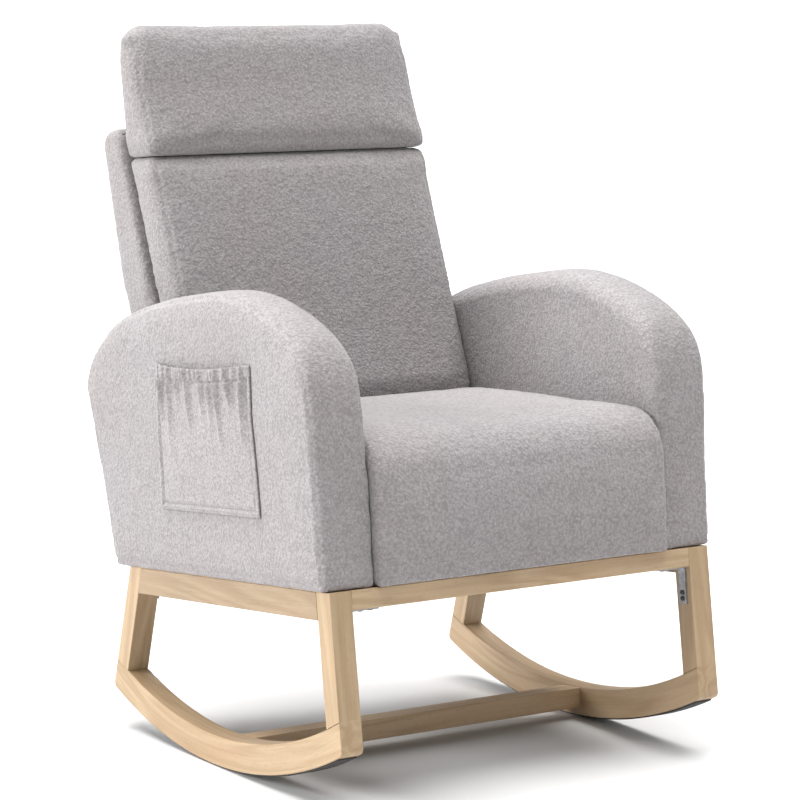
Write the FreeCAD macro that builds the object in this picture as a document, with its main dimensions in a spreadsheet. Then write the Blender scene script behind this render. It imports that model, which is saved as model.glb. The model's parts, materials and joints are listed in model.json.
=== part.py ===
import FreeCAD, Part
import math
import os
import re
import Sketcher

# Upholstered rocking chair, millimetres.
#
# Every piece is drawn in the chair's own square frame, where the tops of the wooden rails lie in the
# plane z = 0, y runs backwards from the front legs and x = 0 is the middle. The chair faces -Y and
# its left side, seen by the person who sits in it, is +X. At rest the chair leans back on its
# rockers, so each finished piece gets one placement, the lean, which turns the square frame about X
# and sets the origin on the floor, under the middle of the chair's box.

SIZES = {
    # Lean of the whole chair at rest, in degrees.
    "lean_angle": 5.43,
    # Wooden base frame.
    "base_half_width": 319,
    "leg_width": 35,
    "rail_length": 563,
    "front_leg_depth": 35,
    "front_leg_lean": 2.6,
    "rear_leg_depth": 36.6,
    "rear_leg_rake": 21.7,
    "wood_edge": 1.5,
    "side_rail_height": 39,
    "end_rail_height": 27,
    "rail_depth": 30,
    # Rockers: an arc about one centre, in the square frame.
    "rocker_centre_y": 276.4,
    "rocker_centre_z": 505.7,
    "rocker_radius": 777,
    "rocker_thickness": 43,
    "rocker_toe": 9,
    "grip_thickness": 2,
    "grip_width": 29,
    "grip_inset": 14,
    # Stretcher between the rockers.
    "stretcher_front": 282,
    "stretcher_depth": 44,
    "stretcher_height": 30,
    "stretcher_top": -229,
    # Dowels and steel corner braces of the base.
    "dowel_radius": 4,
    "dowel_length": 30,
    "dowel_spacing": 13,
    "leg_dowel_front": 8.75,
    "leg_dowel_rear": 605,
    "hole_clearance": 0.15,
    "brace_width": 16,
    "brace_thickness": 2.5,
    "brace_front_drop": 54,
    "brace_rear_drop": 24,
    "brace_run": 46,
    "screw_radius": 2,
    "screw_length": 22,
    "screw_head_radius": 3.6,
    "screw_head_height": 1.6,
    "brace_screw_near": 0.45,
    "brace_screw_far": 0.8,
    "leg_screw_upper": 0.7,
    "leg_screw_lower": 0.86,
    # Seat frame and springs.
    "cover_thickness": 1,
    "frame_top": 112,
    "board_thickness": 22,
    "seat_frame_half": 242,
    "seat_frame_front": 18,
    "seat_frame_rear": 500,
    "front_board_thickness": 41,
    "block_side": 46,
    "block_height": 48,
    "spring_count": 5,
    "spring_pitch": 92,
    "spring_rows": 20,
    "spring_half_run": 16,
    "wire_radius": 1.8,
    "clip_width": 18,
    "clip_depth": 12,
    "clip_wall": 1.2,
    "felt_thickness": 3,
    "felt_half_width": 214,
    "felt_margin": 32,
    # Seat cushion.
    "seat_half_width": 243,
    "seat_front": -11,
    "seat_top_front": 203,
    "seat_roll": 62,
    "seat_skirt": 27,
    # Gap between soft pieces, and between them and the wood.
    "soft_gap": 1,
    # Arms.
    "arm_inner": 244,
    "arm_outer": 333,
    "arm_front": 2,
    "arm_top": 406,
    "arm_crest": 330,
    "arm_rear_top": 352,
    "arm_rear_inset": 8,
    "arm_front_roll": 174,
    "arm_crest_roll": 340,
    "arm_rear_roll": 84,
    "arm_wall": 12,
    "arm_edge": 10,
    "panel_thickness": 12,
    "panel_inset": 15,
    "panel_front_height": 240,
    "panel_shoulder": 45,
    "panel_shoulder_height": 316,
    "panel_rise": 95,
    "panel_rise_height": 346,
    "panel_crest_front": 175,
    "panel_crest_rear": 440,
    "panel_crest_height": 374,
    "panel_rear": 565,
    "panel_rear_height": 326,
    "post_width": 50,
    "front_post_depth": 58,
    "rear_post_depth": 22,
    "front_post_start": 80,
    "rear_post_end": 560,
    "sill_height": 26,
    "sill_width": 36,
    "sill_front": 20,
    "arm_board_top": 340,
    "arm_board_thickness": 15,
    # Back: the outer back and the cushion lean at their own angles.
    "outer_back_start": 602.4,
    "outer_back_angle": 10,
    "shell_half_width": 242,
    "shell_top": 649,
    "shell_top_depth": 60,
    "shell_foot": 520,
    "shell_bend": 391,
    "shell_wall": 4.5,
    "shell_corner": 24,
    "cushion_start": 458,
    "cushion_start_height": 221,
    "cushion_angle": 16.3,
    "cushion_depth": 78,
    "cushion_half_width": 242,
    "cushion_wall": 5,
    "cushion_rim": 16,
    "cushion_edge": 22,
    "headrest_seam": 602,
    "headrest_top": 797,
    "headrest_top_front": 617,
    "headrest_top_depth": 44,
    "headrest_roll": 32,
    "headrest_corner": 34,
    "back_post_width": 28,
    "back_post_depth": 45,
    "back_post_top": 622,
    "back_rail_depth": 14,
    "back_rail_height": 36,
    "back_middle_height": 373,
    "webbing_count": 6,
    "webbing_start": 205,
    "webbing_pitch": 68,
    "webbing_width": 50,
    "webbing_thickness": 1.5,
    # Bolts of the body.
    "bolt_radius": 4,
    "bolt_head_radius": 7,
    "bolt_head_height": 4.5,
    "bolt_recess": 8,
    "base_bolt_front": 152,
    "base_bolt_rear": 473,
    "washer_radius": 9,
    "washer_thickness": 1.6,
    "nut_radius": 7.4,
    "nut_height": 6.5,
    "insert_radius": 5.5,
    "insert_depth": 10,
    "arm_bolt_length": 60,
    "arm_bolt_height": 60,
    "arm_bolt_front": 150,
    "arm_bolt_middle": 265,
    "arm_bolt_rear": 380,
    "back_bolt_length": 92,
    "back_bolt_low": 45,
    "back_bolt_high": 85,
    "back_bolt_set": 12.6,
    # Side pockets.
    "pocket_front": 143,
    "pocket_length": 279,
    "pocket_low": 94,
    "pocket_height": 209,
    "pocket_depth": 10,
    "pocket_wall": 2.5,
    "elastic_height": 8,
    "elastic_thickness": 1.5,
}

PLANES = {"side": "YZ_Plane", "top": "XY_Plane"}
WORD = re.compile(r"[a-z]+(?:_[a-z]+)+")
# Edges at least this long run along a leg, or along a rail.
LEG_RUN = 100
RAIL_RUN = 400
# Two coordinates this near each other are the same; a drawn corner is found within the wider one.
SAME = 0.01
AT_CORNER = 0.5

doc = FreeCAD.newDocument("RockingChair")
sheet = doc.addObject("Spreadsheet::Sheet", "Sizes")
for row, (alias, value) in enumerate(SIZES.items(), start=1):
    sheet.set(f"A{row}", alias)
    sheet.set(f"B{row}", str(value))
    sheet.setAlias(f"B{row}", alias)
doc.recompute()

pieces = []
mirrored = []


def rule(text):
    """An expression on the sheet, from one that names its cells by alias only."""
    return WORD.sub(lambda found: "Sizes." + found.group(), str(text))


def value(text):
    """What such an expression is worth now."""
    return float(sheet.evalExpression(rule(text)))


def bind(thing, **rules):
    """Ties properties of an object to the sheet; a double underscore stands for a dot."""
    for name, text in rules.items():
        thing.setExpression(name.replace("__", "."), rule(text))


def minus(text):
    return f"-({text})"


def keep(thing, label):
    """Notes a finished sub-part, whose label names its file."""
    thing.Label = label
    pieces.append(thing)
    return thing


def new_body(name):
    return doc.addObject("PartDesign::Body", name)


def bent_edge(start, end, radius):
    """The arc about the rockers' centre between two corners, and whether it starts at the first."""
    centre = FreeCAD.Vector(value("rocker_centre_y"), value("rocker_centre_z"), 0)
    angles = [math.atan2(spot.y - centre.y, spot.x - centre.x) for spot in (start, end)]
    circle = Part.Circle(centre, FreeCAD.Vector(0, 0, 1), radius)
    return Part.ArcOfCircle(circle, min(angles), max(angles)), angles[0] < angles[1]


def outline(body, name, plane, points, offset="0", arcs=None):
    """A closed, fully dimensioned outline on one of the body's own planes.

    Its edges are straight, except those that arcs gives a radius: they bend about the rockers' centre.
    """
    sketch = body.newObject("Sketcher::SketchObject", name)
    role = PLANES[plane]
    origin_plane = [part for part in body.Origin.OriginFeatures if part.Role == role][0]
    sketch.AttachmentSupport = [(origin_plane, "")]
    sketch.MapMode = "FlatFace"
    bind(sketch, AttachmentOffset__Base__z=offset)
    corners = [FreeCAD.Vector(value(across), value(up), 0) for across, up in points]
    arcs = arcs or {}
    first, last = [], []
    for index, corner in enumerate(corners):
        following = corners[(index + 1) % len(corners)]
        if index in arcs:
            edge, forward = bent_edge(corner, following, value(arcs[index]))
        else:
            edge, forward = Part.LineSegment(corner, following), True
        sketch.addGeometry(edge)
        first.append(1 if forward else 2)
        last.append(2 if forward else 1)
    for index in range(len(corners)):
        following = (index + 1) % len(corners)
        join = Sketcher.Constraint("Coincident", index, last[index], following, first[following])
        sketch.addConstraint(join)
    for index, radius in arcs.items():
        number = sketch.addConstraint(Sketcher.Constraint("Radius", index, value(radius)))
        sketch.renameConstraint(number, f"bend{index}")
        sketch.setExpression(f"Constraints.bend{index}", rule(radius))
    for index, (across, up) in enumerate(points):
        for kind, text, now in (("X", across, corners[index].x), ("Y", up, corners[index].y)):
            limit = Sketcher.Constraint("Distance" + kind, -1, 1, index, first[index], now)
            number = sketch.addConstraint(limit)
            sketch.renameConstraint(number, f"corner{index}{kind}")
            sketch.setExpression(f"Constraints.corner{index}{kind}", rule(text))
    return sketch


def pad(body, sketch, length):
    feature = body.newObject("PartDesign::Pad", sketch.Name + "Pad")
    feature.Profile = sketch
    bind(feature, Length=length)
    doc.recompute()
    return feature


def slab(name, points, low, width, arcs=None):
    """A body with a side outline, from x = low over a width towards +X."""
    body = new_body(name)
    pad(body, outline(body, name + "Side", "side", points, low, arcs), width)
    return body


def board(name, x, y, z, length, width, height):
    """A body that is one straight block, with its lowest corner at x, y, z."""
    body = new_body(name)
    block = body.newObject("PartDesign::AdditiveBox", name + "Block")
    bind(block, Length=length, Width=width, Height=height)
    bind(block, Placement__Base__x=x, Placement__Base__y=y, Placement__Base__z=z)
    return body


def round_edges(body, radius, wanted):
    """Rounds the edges of a body's last feature that the test wants."""
    doc.recompute()
    base = body.Tip
    names = [f"Edge{n}" for n, edge in enumerate(base.Shape.Edges, start=1) if wanted(edge)]
    feature = body.newObject("PartDesign::Fillet", base.Name + "Round")
    feature.Base = (base, names)
    bind(feature, Radius=radius)
    doc.recompute()
    return feature


def hollow(body, wall, open_face):
    """Leaves a wall inside a body's last feature, open at the faces that the test wants."""
    doc.recompute()
    base = body.Tip
    names = [f"Face{n}" for n, face in enumerate(base.Shape.Faces, start=1) if open_face(face)]
    feature = body.newObject("PartDesign::Thickness", base.Name + "Wall")
    feature.Base = (base, names)
    feature.Reversed = True
    bind(feature, Value=wall)
    doc.recompute()
    if feature.Shape.Volume >= base.Shape.Volume:
        raise ValueError(f"{base.Name} was not hollowed")
    return feature



def edge_at(y, z):
    """A test for straight edges along X through the point y, z of the square frame."""
    spot = (value(y), value(z))

    def wanted(edge):
        ends = [corner.Point for corner in edge.Vertexes]
        across = len(ends) == 2 and abs(ends[0].x - ends[1].x) > 1
        return across and all(math.dist(spot, (end.y, end.z)) < AT_CORNER for end in ends)
    return wanted


def long_edge(length):
    """A test for edges longer than a length in millimetres."""
    return lambda edge: edge.Length > length


def side_edge(edge):
    """Whether an edge lies in one of the two faces that look along X."""
    return len({round(corner.X, 3) for corner in edge.Vertexes}) == 1


def face_towards(direction, least=0.9):
    """A test for faces whose normal points along a direction."""
    def wanted(face):
        first, last, low, high = face.ParameterRange
        normal = face.normalAt((first + last) / 2, (low + high) / 2)
        return normal.dot(FreeCAD.Vector(direction)) > least
    return wanted


TURNS = {
    "x": FreeCAD.Rotation(FreeCAD.Vector(0, 1, 0), 90),
    "y": FreeCAD.Rotation(FreeCAD.Vector(1, 0, 0), -90),
    "z": FreeCAD.Rotation(),
}


def rod(name, spot, axis, radius, length):
    """A round bar from a spot, along one of the square frame's axes."""
    bar = doc.addObject("Part::Cylinder", name)
    bar.Placement = FreeCAD.Placement(FreeCAD.Vector(), TURNS[axis])
    x, y, z = spot
    bind(bar, Radius=radius, Height=length)
    bind(bar, Placement__Base__x=x, Placement__Base__y=y, Placement__Base__z=z)
    return bar


def moved(spot, axis, distance):
    """The spot that lies a distance further along an axis."""
    return tuple(f"{text} + ({distance})" if name == axis else text
                 for name, text in zip("xyz", spot))


def group(name, members):
    """Separate solids held as one object."""
    bunch = doc.addObject("Part::Compound", name)
    bunch.Links = members
    return bunch


def fuse(name, members):
    joined = doc.addObject("Part::MultiFuse", name)
    joined.Shapes = members
    return joined


def cut(name, base, tool):
    rest = doc.addObject("Part::Cut", name)
    rest.Base = base
    rest.Tool = tool
    return rest


def mirror(piece, name):
    """The same piece on the other side of the chair's middle plane."""
    other = doc.addObject("Part::Mirroring", name)
    other.Source = piece
    other.Normal = FreeCAD.Vector(1, 0, 0)
    return other


def both_sides(name, members):
    """One object that holds the members and their mirror images."""
    left = group(name + "Left", members)
    return group(name, [left, mirror(left, name + "Right")])


# ---------------------------------------------------------------- lines of the square frame

def front_line(depth):
    """y of the front legs' front face, at a depth under the rails' tops."""
    return f"(-({depth}) * tan(front_leg_lean))"


def rear_line(depth):
    """y of the rear legs' rear face, at a depth under the rails' tops."""
    return f"(rail_length + ({depth}) * tan(rear_leg_rake))"


def arc_height(y, radius):
    """z of the rockers' arc at y, for one of its radii."""
    return f"(rocker_centre_z - sqrt(({radius}) ^ 2 - (({y}) - rocker_centre_y) ^ 2))"


def arc_depth(start, slope, radius):
    """How deep a leg's line, which leaves y = start with a slope, meets an arc of the rockers."""
    run = f"(({start}) - rocker_centre_y)"
    half = f"(({slope}) * {run} + rocker_centre_z)"
    rest = f"({run} ^ 2 + rocker_centre_z ^ 2 - ({radius}) ^ 2)"
    square = f"(1 + ({slope}) ^ 2)"
    return f"((sqrt({half} ^ 2 - {square} * {rest}) - {half}) / {square})"


def outer_back(height):
    """y of the outer back's rear face."""
    return f"(outer_back_start + ({height}) * tan(outer_back_angle))"


def arm_back(height):
    """y of the arms' rear faces."""
    return f"({outer_back(height)} - arm_rear_inset)"


def cushion_front(height):
    """y of the back cushion's front face."""
    return f"(cushion_start + (({height}) - cushion_start_height) * tan(cushion_angle))"


def cushion_rear(height):
    return f"({cushion_front(height)} + cushion_depth)"


def post_front(height):
    """y of the back posts' front faces, just inside the back shell."""
    room = "(shell_wall + back_post_depth) / cos(outer_back_angle)"
    return f"({outer_back(height)} - {room} - soft_gap)"


INNER_RADIUS = "(rocker_radius - rocker_thickness)"
FRONT_SLOPE = "(-tan(front_leg_lean))"
REAR_SLOPE = "tan(rear_leg_rake)"
LEG_LOW = "base_half_width - leg_width"
LEG_MIDDLE = "base_half_width - leg_width / 2"
RAIL_MIDDLE = "base_half_width - rail_depth / 2"


# ---------------------------------------------------------------- holes that several pieces share

def dowel_spots():
    """Where the dowels of the left side start, and the axis each one lies along."""
    half = "dowel_length / 2"
    joint = f"{LEG_LOW} - {half}"
    end_rail = "-end_rail_height / 2"
    for step in ("-dowel_spacing / 2", "dowel_spacing / 2"):
        yield (joint, f"rail_depth / 2 + {step}", end_rail), "x"
        yield (joint, f"rail_length - rail_depth / 2 + {step}", end_rail), "x"
        yield (joint, f"stretcher_front + stretcher_depth / 2 + {step}",
               "stretcher_top - stretcher_height / 2"), "x"
        height = f"-side_rail_height / 2 + {step}"
        yield (RAIL_MIDDLE, f"front_leg_depth - {half}", height), "y"
        rake = f"(-({height})) * tan(rear_leg_rake)"
        yield (RAIL_MIDDLE, f"rail_length - rear_leg_depth + {rake} - {half}", height), "y"
    for foot in ("leg_dowel_front", "leg_dowel_rear"):
        yield (LEG_MIDDLE, foot, f"{arc_height(foot, INNER_RADIUS)} - {half}"), "z"


def screw_spots():
    """Where the brace screws of the left side enter the wood, and their axes."""
    plate = f"{LEG_LOW} - brace_thickness"
    under = "-end_rail_height - brace_thickness"
    front = "rail_depth / 2"
    rear = "rail_length - brace_width / 2"
    for share in ("leg_screw_upper", "leg_screw_lower"):
        yield (plate, front, f"-end_rail_height - {share} * brace_front_drop"), "x"
    yield (plate, rear, "-end_rail_height - leg_screw_upper * brace_rear_drop"), "x"
    for y in (front, rear):
        for share in ("brace_screw_near", "brace_screw_far"):
            yield (f"{LEG_LOW} - {share} * brace_run", y, under), "z"


def base_bolt_spots():
    """Where the bolts that hold the body on the base leave the side rails' undersides."""
    for y in ("base_bolt_front", "base_bolt_rear"):
        yield (RAIL_MIDDLE, y, "-side_rail_height"), "z"


def arm_bolt_spots():
    """Where the arm bolts start, on the inner faces of the seat frame's side boards."""
    for y in ("arm_bolt_front", "arm_bolt_middle", "arm_bolt_rear"):
        yield ("seat_frame_half - board_thickness", y, "arm_bolt_height"), "x"


def back_bolt_spots():
    """Where the back bolts start, on the inner faces of the back posts."""
    for height in ("back_bolt_low", "back_bolt_high"):
        spot = ("shell_half_width - shell_wall - soft_gap - back_post_width",
                f"{post_front(height)} + back_bolt_set", height)
        yield spot, "x"


def bores(name, spots, radius, length):
    """The holes for a set of fasteners, on both sides of the chair."""
    wide = f"{radius} + hole_clearance"
    return both_sides(name, [rod(f"{name}{index}", spot, axis, wide, length)
                             for index, (spot, axis) in enumerate(spots)])


def end_bores(name, spots, radius, length):
    """The same, with a little room at both ends."""
    longer = [(moved(spot, axis, "-hole_clearance"), axis) for spot, axis in spots]
    return bores(name, longer, radius, f"{length} + 2 * hole_clearance")


# ---------------------------------------------------------------- wooden base

def keep_pair(left, name):
    """Keeps a left piece and its mirror image, which leans with it."""
    keep(left, name + "_left")
    right = mirror(left, name + "_right_mirror")
    right.Label = name + "_right"
    mirrored.append(right)


def make_legs(dowel_holes, screw_holes):
    """Four legs that stand on the rockers, which cut their feet to the rockers' curve."""
    front_foot = arc_depth("0", FRONT_SLOPE, INNER_RADIUS)
    front_heel = arc_depth("front_leg_depth", FRONT_SLOPE, INNER_RADIUS)
    rear_foot = arc_depth("rail_length", REAR_SLOPE, INNER_RADIUS)
    rear_heel = arc_depth("rail_length - rear_leg_depth", REAR_SLOPE, INNER_RADIUS)
    outlines = {
        "front_leg": [("0", "0"),
                      ("front_leg_depth", "0"),
                      (f"front_leg_depth + {front_line(front_heel)}", minus(front_heel)),
                      (front_line(front_foot), minus(front_foot))],
        "rear_leg": [("rail_length - rear_leg_depth", "0"),
                     ("rail_length", "0"),
                     (rear_line(rear_foot), minus(rear_foot)),
                     (f"{rear_line(rear_heel)} - rear_leg_depth", minus(rear_heel))],
    }
    for name, points in outlines.items():
        body = slab(name + "_body", points, LEG_LOW, "leg_width", arcs={2: INNER_RADIUS})
        round_edges(body, "wood_edge", long_edge(LEG_RUN))
        plain = cut(name + "_dowelled", body, dowel_holes)
        keep_pair(cut(name, plain, screw_holes), name)


def make_rockers(dowel_holes):
    """Two curved rockers, whose ends carry on the lines of the legs."""
    points = []
    for start, slope, line in (("0", FRONT_SLOPE, front_line), ("rail_length", REAR_SLOPE, rear_line)):
        ends = [arc_depth(start, slope, radius) for radius in (INNER_RADIUS, "rocker_radius")]
        ends = ends if start == "0" else ends[::-1]
        points += [(line(depth), minus(depth)) for depth in ends]
    arcs = {1: "rocker_radius", 3: INNER_RADIUS}
    body = slab("rocker_body", points, LEG_LOW, "leg_width", arcs=arcs)
    round_edges(body, "rocker_toe", lambda edge: any(edge_at(*spot)(edge) for spot in points[1:3]))
    round_edges(body, "wood_edge", lambda edge: side_edge(edge) and edge.Length > RAIL_RUN)
    keep_pair(cut("rocker", body, dowel_holes), "rocker")


def make_grips():
    """The anti-slip strips glued under the rockers."""
    outer = "(rocker_radius + grip_thickness)"
    points = []
    for start, slope, line, inset in (("0", FRONT_SLOPE, front_line, "grip_inset"),
                                      ("rail_length", REAR_SLOPE, rear_line, "-grip_inset")):
        y = f"({line(arc_depth(start, slope, 'rocker_radius'))} + {inset})"
        radii = ("rocker_radius", outer) if start == "0" else (outer, "rocker_radius")
        points += [(y, arc_height(y, radius)) for radius in radii]
    low = f"{LEG_MIDDLE} - grip_width / 2"
    arcs = {1: outer, 3: "rocker_radius"}
    keep_pair(slab("rocker_grip", points, low, "grip_width", arcs=arcs), "rocker_grip")


def make_rails(dowel_holes, screw_holes, bolt_holes):
    """The four rails between the legs and the stretcher between the rockers."""
    under = "side_rail_height"
    points = [("front_leg_depth", "0"),
              ("rail_length - rear_leg_depth", "0"),
              (f"{rear_line(under)} - rear_leg_depth", minus(under)),
              (f"front_leg_depth + {front_line(under)}", minus(under))]
    side = slab("side_rail_body", points, "base_half_width - rail_depth", "rail_depth")
    round_edges(side, "wood_edge", long_edge(RAIL_RUN))
    keep_pair(cut("side_rail", cut("side_rail_dowelled", side, dowel_holes), bolt_holes), "side_rail")
    blocks = {
        "front_rail": ("0", "-end_rail_height", "rail_depth", "end_rail_height"),
        "rear_rail": ("rail_length - rail_depth", "-end_rail_height", "rail_depth",
                      "end_rail_height"),
        "stretcher": ("stretcher_front", "stretcher_top - stretcher_height", "stretcher_depth",
                      "stretcher_height"),
    }
    for name, (y, z, width, height) in blocks.items():
        body = board(name + "_body", minus(LEG_LOW), y, z, f"2 * ({LEG_LOW})", width, height)
        round_edges(body, "wood_edge", long_edge(RAIL_RUN))
        plain = cut(name + "_dowelled", body, dowel_holes)
        keep(cut(name + "_cut", plain, screw_holes), name)


def make_dowels():
    dowels = [rod(f"dowel{index}", spot, axis, "dowel_radius", "dowel_length")
              for index, (spot, axis) in enumerate(dowel_spots())]
    keep(both_sides("dowels", dowels), "frame_dowels")


def make_braces(screw_holes):
    """Steel angles between the end rails and the legs' inner faces."""
    angles = []
    places = (("front", "rail_depth / 2 - brace_width / 2", "brace_front_drop"),
              ("rear", "rail_length - brace_width", "brace_rear_drop"))
    for name, y, drop in places:
        upright = board(f"brace_{name}_upright", f"{LEG_LOW} - brace_thickness", y,
                        f"-end_rail_height - {drop}", "brace_thickness", "brace_width", drop)
        flat = board(f"brace_{name}_flat", f"{LEG_LOW} - brace_run", y,
                     "-end_rail_height - brace_thickness", "brace_run", "brace_width",
                     "brace_thickness")
        angles.append(cut(f"brace_{name}", fuse(f"brace_{name}_angle", [upright, flat]), screw_holes))
    keep(both_sides("braces", angles), "corner_braces")


def headed(name, spot, axis, radius, length, head_radius, head_height):
    """A screw or bolt: a shank from a spot, with its head on the other side of that spot."""
    shank = rod(name + "_shank", spot, axis, radius, length)
    head = rod(name + "_head", moved(spot, axis, minus(head_height)), axis, head_radius, head_height)
    return fuse(name, [shank, head])


def make_screws():
    screws = [headed(f"screw{index}", spot, axis, "screw_radius", "screw_length",
                     "screw_head_radius", "screw_head_height")
              for index, (spot, axis) in enumerate(screw_spots())]
    keep(both_sides("screws", screws), "brace_screws")


# ---------------------------------------------------------------- seat

def make_seat_frame(bolt_holes):
    """Four boards on edge that carry the springs, with blocks glued into the corners."""
    bottom = "cover_thickness"
    tall = "frame_top - cover_thickness"
    ends = {"seat_frame_front": ("seat_frame_front", "front_board_thickness"),
            "seat_frame_rear": ("seat_frame_rear - board_thickness", "board_thickness")}
    for name, (y, thickness) in ends.items():
        keep(board(name + "_board", "-seat_frame_half", y, bottom, "2 * seat_frame_half",
                   thickness, tall), name)
    start = "seat_frame_front + front_board_thickness"
    side = board("seat_frame_side_board", "seat_frame_half - board_thickness", start, bottom,
                 "board_thickness", f"seat_frame_rear - board_thickness - ({start})", tall)
    keep_pair(cut("seat_frame_side", side, bolt_holes), "seat_frame_side")

    inside = "(seat_frame_half - board_thickness)"
    corner = "(seat_frame_front + front_board_thickness)"
    far = "(seat_frame_rear - board_thickness)"
    blocks = []
    for name, y, step in (("front", corner, "block_side"), ("rear", far, "-block_side")):
        body = new_body(f"block_{name}")
        points = [(inside, y), (inside, f"{y} + {step}"), (f"{inside} - block_side", y)]
        low = "frame_top - block_height - clip_width"
        pad(body, outline(body, f"block_{name}_plan", "top", points, low), "block_height")
        blocks.append(body)
    keep(both_sides("blocks", blocks), "corner_blocks")


def spring_rows():
    """y of the first and the last cross run of each spring, on the front and rear boards."""
    first = value("seat_frame_front + board_thickness / 2")
    last = value("seat_frame_rear - board_thickness / 2")
    return first, last


def spring_height():
    """z of the springs' wire, which lies in the clips."""
    return value("frame_top + clip_wall + wire_radius + 2 * hole_clearance")


def make_springs():
    """Sinuous springs: straight runs across, joined by half circles, from board to board."""
    first, last = spring_rows()
    rows = int(value("spring_rows"))
    step = (last - first) / rows
    half = value("spring_half_run")
    height = spring_height()
    edges = []
    for number in range(rows + 1):
        y = first + number * step
        way = 1 if number % 2 == 0 else -1
        start = FreeCAD.Vector(-way * half, y, height)
        end = FreeCAD.Vector(way * half, y, height)
        edges.append(Part.LineSegment(start, end).toShape())
        if number < rows:
            crown = FreeCAD.Vector(way * (half + step / 2), y + step / 2, height)
            turn = FreeCAD.Vector(way * half, y + step, height)
            edges.append(Part.Arc(end, crown, turn).toShape())
    ring = Part.Circle(edges[0].Vertexes[0].Point, FreeCAD.Vector(1, 0, 0), value("wire_radius"))
    spring = Part.Wire(edges).makePipeShell([Part.Wire(ring.toShape())], True, True)
    springs = []
    for x in spring_centres():
        copy = spring.copy()
        copy.translate(FreeCAD.Vector(x, 0, 0))
        springs.append(copy)
    row = doc.addObject("Part::Feature", "springs")
    row.Shape = Part.makeCompound(springs)
    keep(row, "seat_springs")


def spring_centres():
    count = int(value("spring_count"))
    return [(number - (count - 1) / 2) * value("spring_pitch") for number in range(count)]


def make_clips():
    """A folded clip on the front and the rear board for each end of each spring."""
    room = "(2 * wire_radius + 4 * hole_clearance)"
    ends = {"front": "seat_frame_front + board_thickness / 2",
            "rear": "seat_frame_rear - board_thickness / 2"}
    clips = []
    for number in range(int(value("spring_count"))):
        x = f"(({number}) - (spring_count - 1) / 2) * spring_pitch - clip_width / 2"
        for end, y in ends.items():
            name = f"clip_{end}{number}"
            block = board(name + "_block", x, f"{y} - clip_depth / 2", "frame_top", "clip_width",
                          "clip_depth", f"{room} + 2 * clip_wall")
            slot = board(name + "_slot", f"{x} - clip_wall", f"{y} - {room} / 2",
                         "frame_top + clip_wall", "clip_width + 2 * clip_wall", room, room)
            clips.append(cut(name, block, slot))
    keep(group("clips", clips), "spring_clips")


def felt_bottom():
    return "(frame_top + clip_wall + 2 * wire_radius + 6 * hole_clearance)"


def seat_underside():
    return f"({felt_bottom()} + felt_thickness + soft_gap)"


def make_seat():
    """The felt over the springs, the cushion with its skirt, and the cover under the frame."""
    start = "seat_frame_front + felt_margin"
    felt = board("felt", "-felt_half_width", start, felt_bottom(), "2 * felt_half_width",
                 "seat_frame_rear - 2 * felt_margin - seat_frame_front - board_thickness",
                 "felt_thickness")
    keep(felt, "seat_insulator")

    under = seat_underside()
    edge = "soft_gap / 2"
    rear_top = f"({cushion_front('cushion_start_height')} - soft_gap)"
    points = [("seat_front", edge),
              ("seat_front", "seat_top_front"),
              (rear_top, "cushion_start_height"),
              (f"{cushion_front(under)} - soft_gap", under),
              ("seat_front + seat_skirt", under),
              ("seat_front + seat_skirt", edge)]
    seat = slab("seat", points, "-seat_half_width", "2 * seat_half_width")
    round_edges(seat, "seat_roll", edge_at(*points[1]))
    keep(seat, "seat_cushion")

    cover = board("cover", "-seat_frame_half", "seat_frame_front", "0", "2 * seat_frame_half",
                  "seat_frame_rear - seat_frame_front", "cover_thickness")
    keep(cover, "dust_cover")


# ---------------------------------------------------------------- arms

def make_arm_pads(bolt_holes):
    """Padded arm covers, open underneath, that slip over the arm frames."""
    edge = "soft_gap / 2"
    points = [("arm_front", edge),
              ("arm_front", "arm_top"),
              ("arm_crest", "arm_top"),
              (arm_back("arm_rear_top"), "arm_rear_top"),
              (arm_back(edge), edge)]
    body = slab("arm_pad_body", points, "arm_inner", "arm_outer - arm_inner")
    rolls = ("arm_front_roll", "arm_crest_roll", "arm_rear_roll")
    for roll, corner in zip(rolls, points[1:4]):
        round_edges(body, roll, edge_at(*corner))
    hollow(body, "arm_wall", face_towards((0, 0, -1)))
    outer = value("arm_outer")
    inner = value("arm_inner")
    floor = value(edge)

    def on_rim(edge):
        """Edges round the two broad faces, above the open underside."""
        spots = [edge.valueAt(edge.FirstParameter + share * (edge.LastParameter - edge.FirstParameter))
                 for share in (0, 0.5, 1)]
        flat = any(all(abs(spot.x - x) < SAME for spot in spots) for x in (inner, outer))
        return flat and any(spot.z > floor + 1 for spot in spots)

    round_edges(body, "arm_edge", on_rim)
    keep_pair(cut("arm_pad", body, bolt_holes), "arm_pad")


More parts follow.
